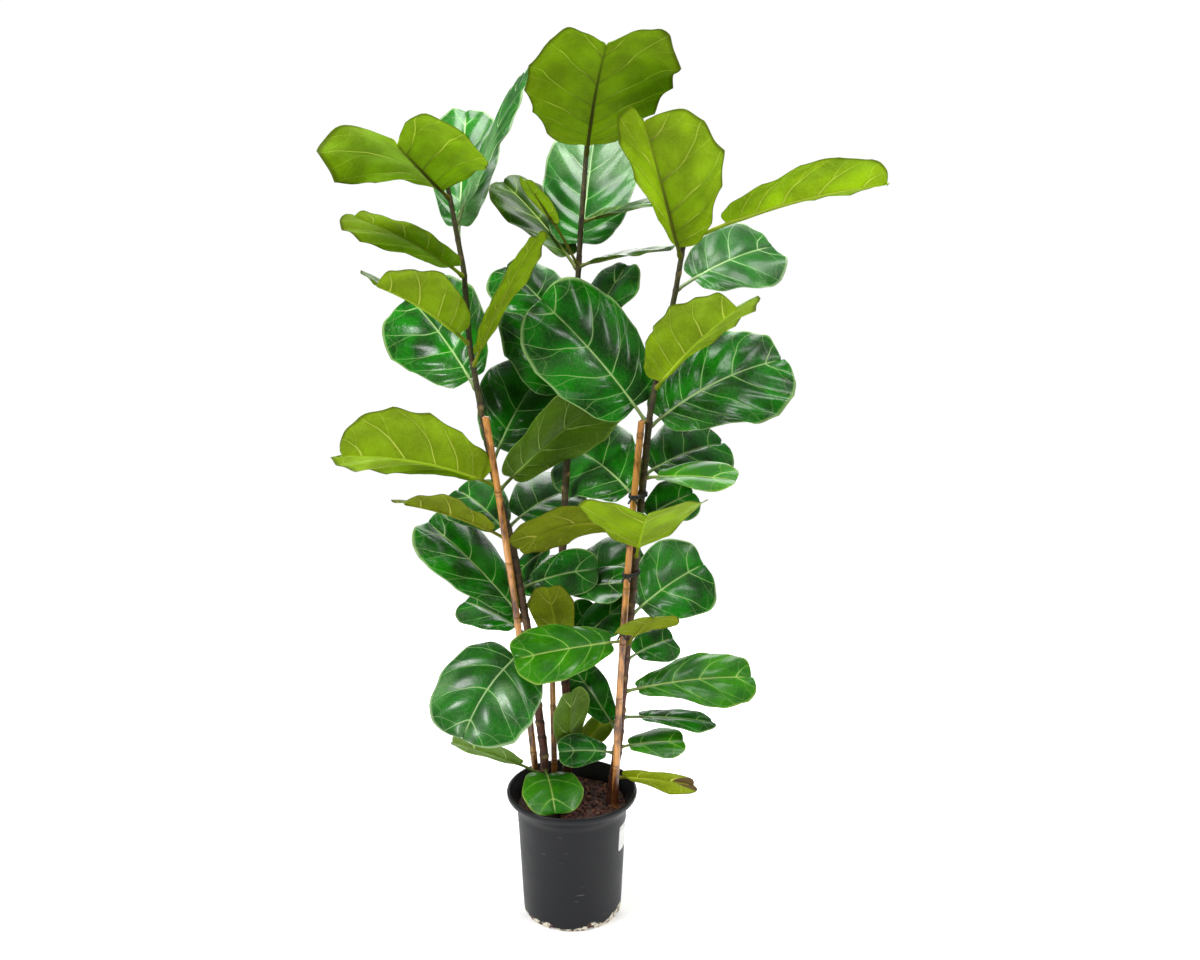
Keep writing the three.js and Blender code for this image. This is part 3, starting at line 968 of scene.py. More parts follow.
@dataclass
class Cane(Piece):
    """A bamboo cane pushed into the pot, a little bowed, with ringed joints and a cut top."""

    name: str
    foot: tuple[float, float, float]
    head: tuple[float, float, float]
    radius: float
    bow: float
    seed: int
    around: int = 24
    step: float = 2.6
    joint_gap: tuple[float, float] = (105.0, 165.0)

    def centre(self, share: Array | float) -> Array:
        """The middle of the cane: straight, plus bow 4t(1 - t) along X.

        Args:
            share: how far up the cane, 0 to 1, one or many.

        Returns:
            A point for each share.
        """
        share = np.asarray(share, dtype=float)[..., None]
        foot, head = np.array(self.foot, dtype=float), np.array(self.head, dtype=float)
        sweep = 4.0 * self.bow * share * (1.0 - share)
        return foot + (head - foot) * share + sweep * np.array([1.0, 0.0, 0.0])

    def at_height(self, height: float) -> Array:
        """The middle of the cane at a height."""
        return self.centre((height - self.foot[2]) / (self.head[2] - self.foot[2]))

    def skin(self) -> Skin:
        """Level rings, swollen at each joint, then a rim and a shallow dish in the cut top.

        Returns:
            The closed cane, with its node value.
        """
        length = self.head[2] - self.foot[2]
        along = np.linspace(0.0, length, int(length / self.step))
        rng = np.random.default_rng(self.seed)
        joints = np.cumsum(rng.uniform(*self.joint_gap, 12)) + 20.0
        gap = along[:, None] - joints[None, :]
        swell = (0.11 * bell(gap, 2.0) + 0.05 * bell(gap + 4.0, 3.0) - 0.05 * bell(gap - 3.4, 1.6))
        mark = np.maximum(bell(gap - 2.6, 1.6), 0.5 * bell(gap + 5.0, 3.0)).max(axis=1)
        radius = self.radius * (1.0 + swell.sum(axis=1)) * (1.03 - 0.06 * along / length)
        centre = self.centre(along / length)
        drop = np.array([0.5, 0.0, 0.2, 2.5])
        centre = np.concatenate([centre, centre[-1] - drop[:, None] * UP])
        radius = np.concatenate([radius, self.radius * np.array([0.9, 0.86, 0.5, 0.42])])
        centre[-5:-4, 2] -= 1.2
        centre[-4:-2, 2] += 0.5
        turn = circle(self.around)
        out = radius[:, None] * (1.0 + 0.02 * np.sin(2.0 * turn + self.seed))[None, :]
        rings = centre[:, None, :] + out[..., None] * facing(turn)
        skin = tube(rings, centre[0], centre[-1])
        mark = np.concatenate([mark, [0.1, 0.3, 0.6, 0.9]])
        skin.values = {"node": np.append(np.outer(mark, np.ones(self.around)), [0.0, 1.0])}
        return skin

    def names(self) -> tuple[str, str, str]:
        """Its node, its piece's ending and its slot."""
        return f"stake_{self.name}", "bamboo", "bamboo"


@dataclass
class Tie(Piece):
    """A soft cord wound twice round a stem and its cane, and knotted at the front."""

    number: int
    height: float
    stem: StemForm
    cane: Cane
    cord: float = 1.9

    def _loop(self, lift: float) -> Array:
        """A loop round the pair: each place lies on the farther circle's edge, eased.

        Args:
            lift: how far it lies above the tie's height.

        Returns:
            Its points, once round the stem and the cane.
        """
        stem, cane = self.stem.centre(self.height + lift), self.cane.at_height(self.height + lift)
        turn = circle(72)
        way = facing(turn)[:, :2]
        reach_stem = float(self.stem.radius(self.height)) * 1.12 + self.cord
        reach_cane = self.cane.radius * 1.1 + self.cord
        far_cane = way @ (cane[:2] - stem[:2]) + reach_cane
        on_cane = smooth(far_cane - reach_stem, -1.5, 1.5)[:, None]
        near = way * reach_stem
        far = way * reach_cane + cane[:2] - stem[:2]
        spot = (1.0 - on_cane) * near + on_cane * far
        return np.column_stack([spot + stem[:2], stem[2] + 0.8 * np.sin(turn)])

    def _cord(self, path: Array, closed: bool) -> Skin:
        """A round cord along a path.

        Args:
            path: its middle line.
            closed: whether it runs round and overlaps its own start by one step.

        Returns:
            The cord's closed skin.
        """
        if closed:
            path = np.concatenate([path, path[:2]])
        along = unit(np.gradient(path, axis=0))
        side = unit(np.cross(along, UP))
        rings = hoops(path, side, np.cross(along, side), self.cord, circle(ROD_SIDES))
        return tube(rings, path[0], path[-1])

    def skin(self) -> Skin:
        """Two turns, one above the other, a knot as a fat loop, and two short ends.

        Returns:
            All of the cord as one skin.
        """
        skin = self._cord(self._loop(-self.cord), True)
        skin = skin.joined(self._cord(self._loop(self.cord), True))
        loop = self._loop(0.0)
        front = loop[np.argmin(loop[:, 1] + 0.35 * loop[:, 0])]
        t = circle(22)
        knot = front + np.stack([2.3 * np.cos(t), -1.4 + 1.2 * np.sin(2 * t), 3.0 * np.sin(t)], -1)
        skin = skin.joined(self._cord(knot, True))
        for way in (-1.0, 1.0):
            s = np.linspace(0.0, 1.0, 9)[:, None]
            end = front + s * np.array([way * 8.0, -4.0, -6.0]) + s**2 * np.array([0, 0, -5.0])
            skin = skin.joined(self._cord(end, False))
        skin.flat = None
        return skin

    def names(self) -> tuple[str, str, str]:
        """Its node, its piece's ending and its slot."""
        return f"tie_{self.number}", "cord", "tie_rubber"


# ---------------------------------------------------------------------------------------------
# Leaves


@dataclass(frozen=True)
class LeafForm:
    """One leaf's place, pose and outline, in millimetres and degrees.

    The leaf leaves its stem at a height and heading, rises above level by rise and has drooped
    by droop at its tip. Roll turns it about its midrib, fold lifts its halves and curl bends
    their margins back. Bend turns its heading as it runs out. Waist is how narrow it is near
    the stalk, lobe how far its base is swept back and notch how deep its tip is dented.
    """

    height: float
    heading: float
    rise: float
    droop: float
    stalk: float
    length: float
    width: float
    roll: float
    fold: float
    curl: float
    tone: Tone
    bend: float = 0.0
    waist: float = 0.6
    lobe: float = 0.05
    # Whole-leaf lightening or darkening: its own tone, and a painted shade on leaves deep inside.
    tint: float = 0.0
    notch: float = 0.0
    dark_rib: float = 0.0
    dry: float = 0.0
    stem: str = ""
    node: str = ""


# Places of a blade's rows between two side veins, and of its lanes between rib and margin.
ROW_STEPS = np.array([0.0, 0.05, 0.13, 0.25, 0.38, 0.5, 0.62, 0.75, 0.87, 0.95])
HALF_LANES = np.array([0.03, 0.08, 0.16, 0.26, 0.37, 0.48, 0.59, 0.7, 0.8, 0.88, 0.94, 0.98, 1])


@dataclass
class Leaf(Piece):
    """A leaf: a quilted, veined blade on a stalk that runs on as its midrib."""

    form: LeafForm
    stem: StemForm
    seed: int
    vein_pitch: float = 43.0
    stalk_radius: float = 2.8
    thickness: float = 0.8
    gap: float = 0.3
    first_vein: float = 0.55
    quilt: float = 5.2
    wave: float = 4.0
    lump: float = 2.2
    groove: float = 1.1

    def foot(self) -> Array:
        """The stalk's first point, just clear of the stem on the side that it leaves from.

        Returns:
            The point.
        """
        f = self.form
        out = facing(np.radians(f.heading))
        rise = np.radians(f.rise)
        lean = (self.stem.centre(f.height + 4.0) - self.stem.centre(f.height - 4.0)) / 8.0
        slant = abs(np.sin(rise) + lean @ out * np.cos(rise))
        reach = float(self.stem.radius(f.height)) + 2.0 * self.gap + 2.6 * slant
        return self.stem.centre(f.height) + reach * out

    def spine(self, distance: Array) -> tuple[Array, Array, Array]:
        """The midrib: its direction's climb and heading change evenly with distance.

        Args:
            distance: how far along the leaf from the stalk's foot.

        Returns:
            Its points, the blade's crossways direction and its upward direction.
        """
        f = self.form
        reach = f.stalk + f.length
        s = np.linspace(-10.0, reach * 1.03, 500)
        middle = (s[1:] + s[:-1]) / 2.0
        walk = self._direction(middle) * np.diff(s)[:, None]
        path = np.concatenate([np.zeros((1, 3)), np.cumsum(walk, axis=0)])
        path -= np.array([np.interp(0.0, s, path[:, k]) for k in range(3)])
        point = np.stack([np.interp(distance, s, path[:, k]) for k in range(3)], axis=-1)
        along = self._direction(distance)
        heading = np.radians(f.heading + f.bend * distance / reach)
        level = np.cross(UP, facing(heading))
        above = np.cross(along, level)
        roll = np.radians(f.roll * np.clip(distance / f.stalk, 0.0, 1.0))[..., None]
        across = level * np.cos(roll) + above * np.sin(roll)
        return point + self.foot(), across, above * np.cos(roll) - level * np.sin(roll)

    def _direction(self, distance: Array) -> Array:
        """The midrib's unit direction, whose climb and heading change evenly.

        Args:
            distance: how far along the leaf from the stalk's foot.

        Returns:
            A direction for each distance.
        """
        f = self.form
        share = distance / (f.stalk + f.length)
        climb = np.radians(f.rise - f.droop * share)
        heading = np.radians(f.heading + f.bend * share)
        return np.cos(climb)[..., None] * facing(heading) + np.sin(climb)[..., None] * UP

    def _rows(self) -> tuple[Array, int]:
        """Rows from base to tip, closest together at the side veins.

        Returns:
            The rows, 0 to 1, and how many side veins there are.
        """
        count = max(3, round(self.form.length / self.vein_pitch))
        cells = np.arange(-1, count + 1)[:, None]
        rows = (cells + ROW_STEPS + self.first_vein).ravel() / count
        rows = rows[(rows > 0.014) & (rows < 0.985)]
        return np.concatenate([[0.004, 0.009], rows, [0.99, 0.996]]), count

    def _soft(self) -> bool:
        """Whether the leaf is of a thin, soft age, scalloped deeper and waved less."""
        return self.form.tone in (Tone.YOUNG, Tone.AGED)

    def _outline(self, u: Array, side: Array, phase: Array) -> tuple[Array, Array]:
        """The flat blade: how far along and how far out from the midrib each place is.

        Along a side vein the way forward grows as 0.4 side + 0.6 side^2, from its root on the
        midrib to its end at the margin. The half width follows sin^0.7 of the way along, drawn
        in at the waist and scalloped between veins.

        Args:
            u: rows from base, 0, to tip, 1.
            side: lanes from midrib, 0, to margin, 1.
            phase: the count of side veins at each row.

        Returns:
            Distances along and across.
        """
        f = self.form
        spread = f.waist + (1.0 - f.waist) * smooth(u, 0.15, 0.7)
        corner = (0.065 if self._soft() else 0.03) * smooth(u, 0.05, 0.25)
        scallop = 1.0 + corner * (0.6 - np.abs(np.sin(np.pi * phase)))
        width = 0.51 * f.width * np.sin(np.pi * u) ** 0.7 * spread * scallop
        lobes = f.lobe * np.sin(np.pi * np.clip(u / 0.4, 0.0, 1.0))
        dent = 0.04 * u**12 + f.notch * u**24
        crest = 0.5 * f.notch * np.sin(np.pi * np.clip((u - 0.6) / 0.4, 0.0, 1.0))
        margin = f.length * ((1.0 - np.cos(np.pi * u)) / 2.0 - lobes - dent + crest)
        root = f.length * u**2.5 * (1.0 - 0.04 * u**12 - f.notch)
        return root + (margin - root) * (0.4 * side + 0.6 * side**2), width * side

    def _relief(self, u: Array, v: Array, phase: Array, x: Array, q: Array,
                turn: Array) -> Array:
        """How high the skin stands: quilting, waves and lumps, less the groove on the midrib.

        Between two veins it swells by sin^2 of the phase, at the margin two sines wave it, and
        slow ripples tilt it. All three fade out towards the base.

        Args:
            u: rows from base, 0, to tip, 1.
            v: lanes from right margin, -1, to left, 1.
            phase: the count of side veins at each row.
            x: distances along.
            q: distances across.
            turn: where the waves of the left and right half start.

        Returns:
            The heights.
        """
        side = np.abs(v)
        length = self.form.length
        size = self.form.width / 200.0
        quilt = self.quilt * size * np.sin(np.pi * phase) ** 2 * side**0.5 * (1.0 - side**3)
        start = np.where(v > 0.0, turn[0], turn[1])
        wave = self.wave * size * (0.8 if self._soft() else 1.0) * side**2.5 * (
            np.sin(np.pi * phase + start) + 0.5 * np.sin(2.3 * np.pi * phase + 2.0 * start))
        lump = self.lump * size * side * ripples(x, q * np.sign(v), self.seed, 130.0, 4)
        groove = -self.groove * bell(q, 5.0) * smooth(u, 0.0, 0.1)
        return (quilt + wave + lump) * smooth(x, -0.05 * length, 0.15 * length) + groove

    def blade(self) -> Skin:
        """The blade over u, base to tip, and v, right margin to left, with its point values.

        Side veins follow lines of constant u, which leave the midrib low and sweep forward to
        the margin. The flat blade is laid on the spine, folded by fold - 2 curl q / width,
        raised by its relief, and thickened both ways, with ridges below its veins.

        Returns:
            The closed blade and its flat map.
        """
        f = self.form
        rng = np.random.default_rng(self.seed)
        rows, count = self._rows()
        lanes = np.concatenate([-HALF_LANES[::-1], [0.0], HALF_LANES])
        u, v = rows[:, None], lanes[None, :]
        side = np.abs(v)
        phase = count * u - self.first_vein
        x, q = self._outline(u, side, phase)
        angle = np.radians(f.fold - f.curl * 2.0 * q / f.width)
        point, across, above = self.spine(f.stalk + x)
        relief = self._relief(u, v, phase, x, q, rng.uniform(0.0, TURN, 2))
        middle = (point + across * (q * np.cos(angle) * np.sign(v))[..., None]
                  + above * (q * np.sin(angle) + relief)[..., None])
        forward, leftward = np.gradient(middle, axis=0), np.gradient(middle, axis=1)
        normal = unit(np.cross(forward, leftward))
        near_vein = np.abs(phase - np.round(phase)) * f.length / count
        strong = (1.0 - 0.7 * side) * smooth(side, 0.0, 0.03) * np.ones_like(u)
        ridge = bell(near_vein, 2.2) * strong
        half_thick = 0.5 * self.thickness * (1.0 - 0.4 * side**8) * np.ones_like(u)
        upper = middle + normal * half_thick[..., None]
        lower = middle - normal * (half_thick + ridge)[..., None]
        skin = slab(upper, lower)
        flat = np.stack([x, q * np.sign(v)], axis=-1).reshape(-1, 2) / MAP_UNIT
        ones = np.ones(middle.shape[:2])
        twice = {
            "phase": phase * ones,
            "edge": side * ones,
            "dry": f.dry * smooth(u, 0.74, 0.95) * ones,
            "rib": bell(q, 1.2) * smooth(1.0 - u, 0.0, 0.06),
            "tint": f.tint * ones,
            "dark": f.dark_rib * ones,
        }
        skin.values = {key: np.tile(value.ravel(), 2) for key, value in twice.items()}
        skin.values["face"] = np.concatenate([ones.ravel(), 0.0 * ones.ravel()])
        skin.flat = np.tile(flat, (2, 1)) + rng.uniform(0.0, 20.0, 2)
        return skin

    def stalk(self) -> Skin:
        """The stalk and midrib: a round rod, swollen at the stem, that thins to the tip.

        Returns:
            The closed rod, with the blade's point values.
        """
        f = self.form
        s = np.concatenate([
            np.linspace(-8.0, f.stalk, 14, endpoint=False),
            f.stalk + np.linspace(0.0, 0.93 - f.notch, 46) * f.length,
        ])
        point, across, above = self.spine(s)
        share = np.clip((s - f.stalk) / f.length, 0.0, 1.0)
        thick = min(1.0, 0.55 + f.length / 500.0)
        radius = thick * (self.stalk_radius * (1.0 - share) ** 0.85 + 0.5)
        radius = radius + 1.5 * thick * bell(s, 5.5)
        sink = (1.0 + 0.42 * radius) * smooth(s, f.stalk - 4.0, f.stalk + 0.12 * f.length)
        turn = circle(ROD_SIDES)
        middle = point - above * sink[:, None]
        skin = tube(hoops(middle, across, above, radius, turn), middle[0], middle[-1])
        count = len(skin.points)
        top = np.append(np.tile(0.5 + 0.5 * np.sin(turn), len(s)), [0.5, 0.5])
        far = np.append(np.repeat(share, ROD_SIDES), [0.0, 1.0])
        skin.values = {
            "rib": np.ones(count),
            "face": top,
            "tint": np.full(count, f.tint),
            "dark": np.maximum(f.dark_rib * (1.0 - 0.75 * smooth(far, 0.25, 0.95)),
                               0.55 * (1.0 - smooth(far, 0.0, 0.08))),
            "dry": f.dry * smooth(far, 0.8, 0.95),
        }
        along = np.append(np.repeat(s, ROD_SIDES), [0.0, 0.0])
        skin.flat = np.column_stack([along, top]) / MAP_UNIT
        return skin

    def skin(self) -> Skin:
        """The blade and its stalk as one skin."""
        return self.blade().joined(self.stalk())

    def names(self) -> tuple[str, str, str]:
        """Its node, its piece's ending and its slot."""
        return self.form.node, "blade", LEAF_SLOTS[self.form.tone]


# ---------------------------------------------------------------------------------------------
# Pot and soil


@dataclass
class Pot:
    """A round flared nursery pot: drawn-in foot with drain slots, a rolled rim, a blank label."""

    base_radius: float = 96.5
    body_radius: float = 107.0
    rim_radius: float = 127.5
    shoulder: float = 222.0
    height: float = 261.5
    wall: float = 2.4
    floor: float = 3.0
    slots: int = 8
    slot_height: float = 2.0
    slot_half: tuple[float, float] = (8.0, 8.5)
    slot_reach: tuple[float, float] = (85.0, 103.0)
    label_height: float = 176.0
    label_heading: float = -9.0
    label_half: tuple[float, float] = (20.0, 27.0)
    label_faces: tuple[float, float] = (0.12, 0.4)
    label_lift: float = 2.2
    sides: int = 192

    def wall_radius(self, height: Array | float) -> Array:
        """The outside of the plain wall at a height, below the shoulder."""
        share = np.asarray(height, dtype=float) / self.shoulder
        return self.base_radius + (self.body_radius - self.base_radius) * share

    def profile(self) -> Array:
        """The wall's section, from the middle of the underside out, over the rim and in.

        Returns:
            Pairs of radius and height.
        """
        f = self.rim_radius
        z = np.linspace(12.0, 214.0, 34)
        ribs = 0.45 * (bell(z - 196.0, 2.6) + bell(z - 207.0, 2.6))
        wall = np.column_stack([self.wall_radius(z) + ribs, z])
        foot = through(np.array([[self.base_radius - 6.5, 0.0], [self.base_radius - 2.2, 1.0],
                                 [self.base_radius - 0.1, 4.6], [self.base_radius + 0.4, 9.0]]), 10)
        lip = through(np.array([
            [self.wall_radius(218.0), 218.0], [self.body_radius + 0.6, self.shoulder + 2.0],
            [f - 16.5, self.height - 29.5], [f - 7.5, self.height - 18.5],
            [f - 1.6, self.height - 11.5], [f, self.height - 5.5], [f - 1.3, self.height - 1.0],
            [f - 4.2, self.height], [f - 7.2, self.height - 3.2], [f - 9.6, self.height - 7.5],
            [f - 14.5, self.height - 15.5], [f - 20.0, self.height - 27.5],
            [self.wall_radius(self.shoulder) - self.wall, self.shoulder],
        ]), 76)
        inside = np.linspace([self.wall_radius(216.0) - self.wall, 216.0],
                             [self.base_radius - self.wall, self.floor + 1.0], 20)
        under = np.array([[0.0, 0.0], [40.0, 0.0], [86.0, 0.0], [self.base_radius - 7.5, 0.0]])
        floor = np.array([[self.base_radius - self.wall - 1.0, self.floor], [50.0, self.floor],
                          [0.0, self.floor]])
        return np.concatenate([under, foot, wall, lip, inside, floor])

    def build(self, plastic: Material, film: Material) -> None:
        """Makes the pot with its slots cut, and its label.

        Args:
            plastic: the pot's finish.
            film: the label's finish.
        """
        pot = make_piece("pot_shell", turned(self.profile(), self.sides), plastic,
                         ["pot"])
        cutter = self._slot_cutter()
        cut = pot.modifiers.new("drain_slots", "BOOLEAN")
        cut.operation = "DIFFERENCE"
        cut.solver = "EXACT"
        cut.object = cutter
        depsgraph = bpy.context.evaluated_depsgraph_get()
        shape = bpy.data.meshes.new_from_object(pot.evaluated_get(depsgraph))
        pot.modifiers.clear()
        pot.data = shape
        bpy.data.objects.remove(cutter, do_unlink=True)
        make_piece("pot_label", self._label(), film)

    def _slot_cutter(self) -> bpy.types.Object:
        """A ring of separate round-ended blocks that cross the corner of wall and floor.

        Returns:
            The blocks as one object, which is removed once the slots are cut.
        """
        way = facing(circle(20))[:, :2]
        outline = np.sign(way) * np.abs(way) ** 0.5 * self.slot_half
        radii = np.linspace(*self.slot_reach, 3)
        whole: Skin | None = None
        for k in range(self.slots):
            out = facing((k + 0.5) * TURN / self.slots)
            left = np.cross(UP, out)
            rings = (radii[:, None, None] * out + outline[None, :, 0, None] * left
                     + outline[None, :, 1, None] * UP + self.slot_height * UP)
            block = tube(rings, rings[0].mean(axis=0), rings[-1].mean(axis=0))
            whole = block if whole is None else whole.joined(block)
        return shown("slot_cutter", shell("slot_cutter", whole))

    def _label(self) -> Skin:
        """A blank film wrapped on the wall, with rounded corners and one corner lifting.

        Returns:
            The closed film.
        """
        u, v = np.meshgrid(np.linspace(-1.0, 1.0, 31), np.linspace(-1.0, 1.0, 21), indexing="ij")
        square = np.maximum(np.abs(u), np.abs(v))
        round_ = (np.abs(u) ** 12 + np.abs(v) ** 12) ** (1.0 / 12.0)
        fit = np.where(square > 0.0, square / np.maximum(round_, 1e-9), 1.0)
        wide, tall = self.label_half
        height = self.label_height + tall * v * fit
        angle = np.radians(self.label_heading + wide * u * fit)
        lift = self.label_lift * smooth(u * 0.5 - v * 0.6, 0.75, 1.15)
        wall = self.wall_radius(height)
        out = facing(angle)
        base = height[..., None] * UP
        inner, outer = (base + out * (wall + gap + lift)[..., None] for gap in self.label_faces)
        return slab(outer, inner)


@dataclass
class Soil:
    """The root ball and its rough, chip-strewn top, a little mounded round the stems."""

    pot: Pot
    edge: float = 229.0
    crown: float = 4.0
    mound: float = 104.0
    sides: int = 176
    chip_count: int = 420
    chip_reach: float = 99.0
    chip_size: tuple[float, float] = (2.0, 6.5)
    chip_height: float = 2.4
    chip_seed: int = 11

    def top(self, x: Array, y: Array) -> Array:
        """The ground's height: a low mound plus clods of three sizes.

        Args:
            x: first coordinate.
            y: second coordinate.

        Returns:
            A height for each place.
        """
        far = np.hypot(x, y) / self.mound
        clods = 1.7 * ripples(x, y, 3, 34.0) + 1.1 * ripples(x, y, 4, 13.0, 9)
        return self.edge + self.crown * (1.0 - far**2) + clods + 0.6 * ripples(x, y, 5, 6.0, 9)

    def skin(self) -> Skin:
        """The root ball's side as a turned wall, closed by rings of the rough top.

        Returns:
            The closed root ball, with its shade value.
        """
        bottom = self.pot.floor + 0.3
        gap = self.pot.wall + 0.35
        z = np.linspace(bottom + 1.0, 221.0, 26)
        side = np.column_stack([self.pot.wall_radius(z) - gap, z])
        under = np.array([[0.0, bottom], [60.0, bottom], [92.0, bottom]])
        radii = np.concatenate([[105.2, 105.0, 104.2], np.linspace(103.0, 1.2, 84)])
        lid = np.column_stack([radii, np.full(len(radii), self.edge)])
        lid[0, 1] = 226.0
        skin = turned(np.concatenate([under, side, lid, [[0.0, self.edge]]]), self.sides)
        x, y, _ = skin.points.T
        ground = self.top(x, y)
        first = 1 + (len(under) - 1 + len(side)) * self.sides
        inside = smooth(103.5 - np.hypot(x, y), -1.2, 2.0)
        is_top = np.zeros(len(x))
        is_top[first - 1 + self.sides:] = 1.0
        is_top[-2] = 0.0
        lift = (ground - skin.points[:, 2]) * is_top
        skin.points[:, 2] += np.where(is_top > 0.0, lift * np.maximum(inside, 0.6), 0.0)
        skin.points[-1, 2] = float(self.top(np.zeros(1), np.zeros(1))[0])
        skin.values = {"shade": 0.3 * (1.0 - is_top)}
        return skin

    def chips(self) -> Skin:
        """Bark chips: flattened six-sided blocks, turned at random and half sunk.

        Returns:
            All the chips as one skin.
        """
        rng = np.random.default_rng(self.chip_seed)
        count = self.chip_count
        reach = self.chip_reach * np.sqrt(rng.uniform(0.0, 1.0, count))
        heading = rng.uniform(0.0, TURN, count)
        x, y = reach * np.cos(heading), reach * np.sin(heading)
        size = rng.uniform(*self.chip_size, count)[:, None] * rng.uniform(0.35, 1.0, (count, 3))
        size[:, 2] = np.minimum(size[:, 2], self.chip_height)
        levels = [wide * facing(circle(6)) + high * UP
                  for wide, high in ((0.8, -0.7), (1.0, 0.1), (0.7, 0.7))]
        block = np.concatenate([*levels, [-0.8 * UP, 0.8 * UP]])
        per_chip = len(block)
        shape = block[None] * size[:, None, :] * rng.uniform(0.75, 1.2, (count, per_chip, 1))
        yaw, tip = rng.uniform(0.0, TURN, count), rng.normal(0.0, 0.35, count)
        c, s = np.cos(yaw)[:, None], np.sin(yaw)[:, None]
        a = shape[..., 0] * c - shape[..., 1] * s
        b = shape[..., 0] * s + shape[..., 1] * c
        rise = shape[..., 2] + np.tan(tip)[:, None] * shape[..., 0] * 0.6
        ground = self.top(x, y)[:, None]
        points = np.stack([a + x[:, None], b + y[:, None], rise + ground + 0.5], axis=-1)
        one = tube(np.stack(levels), block[-2], block[-1])
        shift = (np.arange(count) * per_chip)[:, None, None]
        return Skin(
            points.reshape(-1, 3),
            (one.quads[None] + shift).reshape(-1, 4),
            (one.triangles[None] + shift).reshape(-1, 3),
            {"shade": np.repeat(rng.uniform(0.1, 1.2, count), per_chip)},
        )

    def build(self, material: Material) -> None:
        """Makes the soil and its chips.

        Args:
            material: the potting soil.
        """
        make_piece("soil_bed", self.skin(), material, ["soil"])
        make_piece("soil_chips", self.chips(), material)


# ---------------------------------------------------------------------------------------------
# Studio


@dataclass
class Studio:
    """A pale floor, soft white light from all round, and the camera."""

    eye: tuple[float, float, float] = (0.055, -2.65, 1.67)
    pitch: float = 16.4
    lens: float = 45.0
    sensor: float = 36.0
    target: tuple[float, float, float] = (0.0, 0.0, 0.95)
    floor_radius: float = 1.7
    sky_light: float = 0.26
    sky_seen: float = 1.02

    def build(self) -> None:
        """Makes the floor, the lights, the sky and the camera."""
        self._floor()
        self._sky()
        self._softbox("key", (-2.2, -1.5, 2.9), 1.0, 90.0)
        self._softbox("overhead", (0.2, 0.3, 3.4), 1.3, 58.0)
        self._softbox("side", (1.7, -0.1, 3.0), 0.8, 20.0)
        self._softbox("window", (2.0, -1.7, 2.8), 0.7, 26.0)
        self._softbox("behind", (0.2, 2.6, 2.1), 1.8, 42.0)
        self._camera()
        look = bpy.context.scene.view_settings
        look.view_transform = "Standard"
        look.look = "None"

    def _floor(self) -> None:
        """A plain pale round floor that glows: faintly in the middle, backdrop-white at its rim."""
        mesh = bpy.data.meshes.new("floor")
        rim = self.floor_radius * facing(circle(96))
        mesh.from_pydata(rim.tolist(), [], [tuple(range(len(rim)))])
        g = Graph("floor")
        cloud = g.band(g.noise(g.place(), 3.0, 2.0), 0.3, 0.7, 0.98, 1.0)
        white = g.lit((246, 246, 246), cloud)
        far = g.add("ShaderNodeVectorMath", {0: g.place()}, operation="LENGTH").outputs["Value"]
        glow = {"Emission Color": paint((255, 255, 255)),
                "Emission Strength": g.band(far, 0.2, 1.6, 0.3, 1.02)}
        mesh.materials.append(g.done(g.surface(white, 0.9, g.bump(cloud, 0.0001, 0.1), glow)))
        floor = shown("floor", mesh)

    def _sky(self) -> None:
        """A white backdrop to look at, which lights the plant only gently."""
        world = bpy.data.worlds.new("studio")
        world.use_nodes = True
        tree = world.node_tree
        sky = tree.nodes["Background"]
        sky.inputs[0].default_value = (1.0, 1.0, 1.0, 1.0)
        ray = tree.nodes.new("ShaderNodeLightPath")
        power = tree.nodes.new("ShaderNodeMapRange")
        power.inputs["To Min"].default_value = self.sky_light
        power.inputs["To Max"].default_value = self.sky_seen
        tree.links.new(ray.outputs["Is Camera Ray"], power.inputs["Value"])
        tree.links.new(power.outputs[0], sky.inputs[1])
        bpy.context.scene.world = world

    def _softbox(self, name: str, place: Sequence[float], size: float, power: float) -> None:
        """Hangs one square softbox that faces the middle of the plant.

        Args:
            name: its name.
            place: where it hangs, in metres.
            size: its side, in metres.
            power: its power in watts.
        """
        light = bpy.data.lights.new(name, "AREA")
        light.size = size
        light.energy = power
        lamp = shown(name, light)
        lamp.location = place
        aim = np.array(self.target) - np.array(place)
        flat = float(np.hypot(aim[0], aim[1]))
        lamp.rotation_euler = (np.pi / 2 + np.arctan2(aim[2], flat), 0.0,
                               np.arctan2(aim[1], aim[0]) - np.pi / 2)

    def _camera(self) -> None:
        """Sets up the camera at eye height, looking level along +Y and tipped down by pitch."""
        data = bpy.data.cameras.new("camera")
        data.lens = self.lens
        data.sensor_width = self.sensor
        data.dof.use_dof = False
        camera = shown("camera", data)
        camera.location = self.eye
        camera.rotation_euler = (np.radians(90.0 - self.pitch), 0.0, 0.0)
        bpy.context.scene.camera = camera


# ---------------------------------------------------------------------------------------------
# The plant

STEMS: dict[str, StemForm] = {
    form.name: form
    for form in (
        StemForm("left", ((-52, 24, 150), (-52, 22, 228), (-56, 20, 340), (-82, 18, 580),
                          (-110, 27, 757), (-141, 29, 880), (-163, 20, 1018), (-180, 12, 1139),
                          (-186, 5, 1274), (-209, -4, 1418)), 8.5, 4.0),
        StemForm("middle", ((-14, 48, 150), (-12, 48, 228), (-6, 52, 340), (-22, 56, 627),
                            (-8, 60, 900), (19, 60, 1320), (32, 54, 1490)), 8.5, 4.0),
        StemForm("right", ((74, 8, 150), (76, 6, 228), (88, -2, 340), (108, -8, 585),
                           (122, -12, 745), (133, -16, 880), (145, -18, 1020), (153, -19, 1067),
                           (187, -26, 1238), (203, -30, 1345)), 9.0, 4.2),
    )
}

CANES: dict[str, Cane] = {
    cane.name: cane
    for cane in (
        Cane("left", (-63, 38, 150), (-153, -2, 1010), 6.5, 8.0, 21),
        Cane("middle", (-34, 44, 150), (-40, 50, 640), 6.0, 0.0, 22),
        Cane("right", (82, -17, 150), (130, -30, 1010), 6.5, -8.0, 23),
    )
}

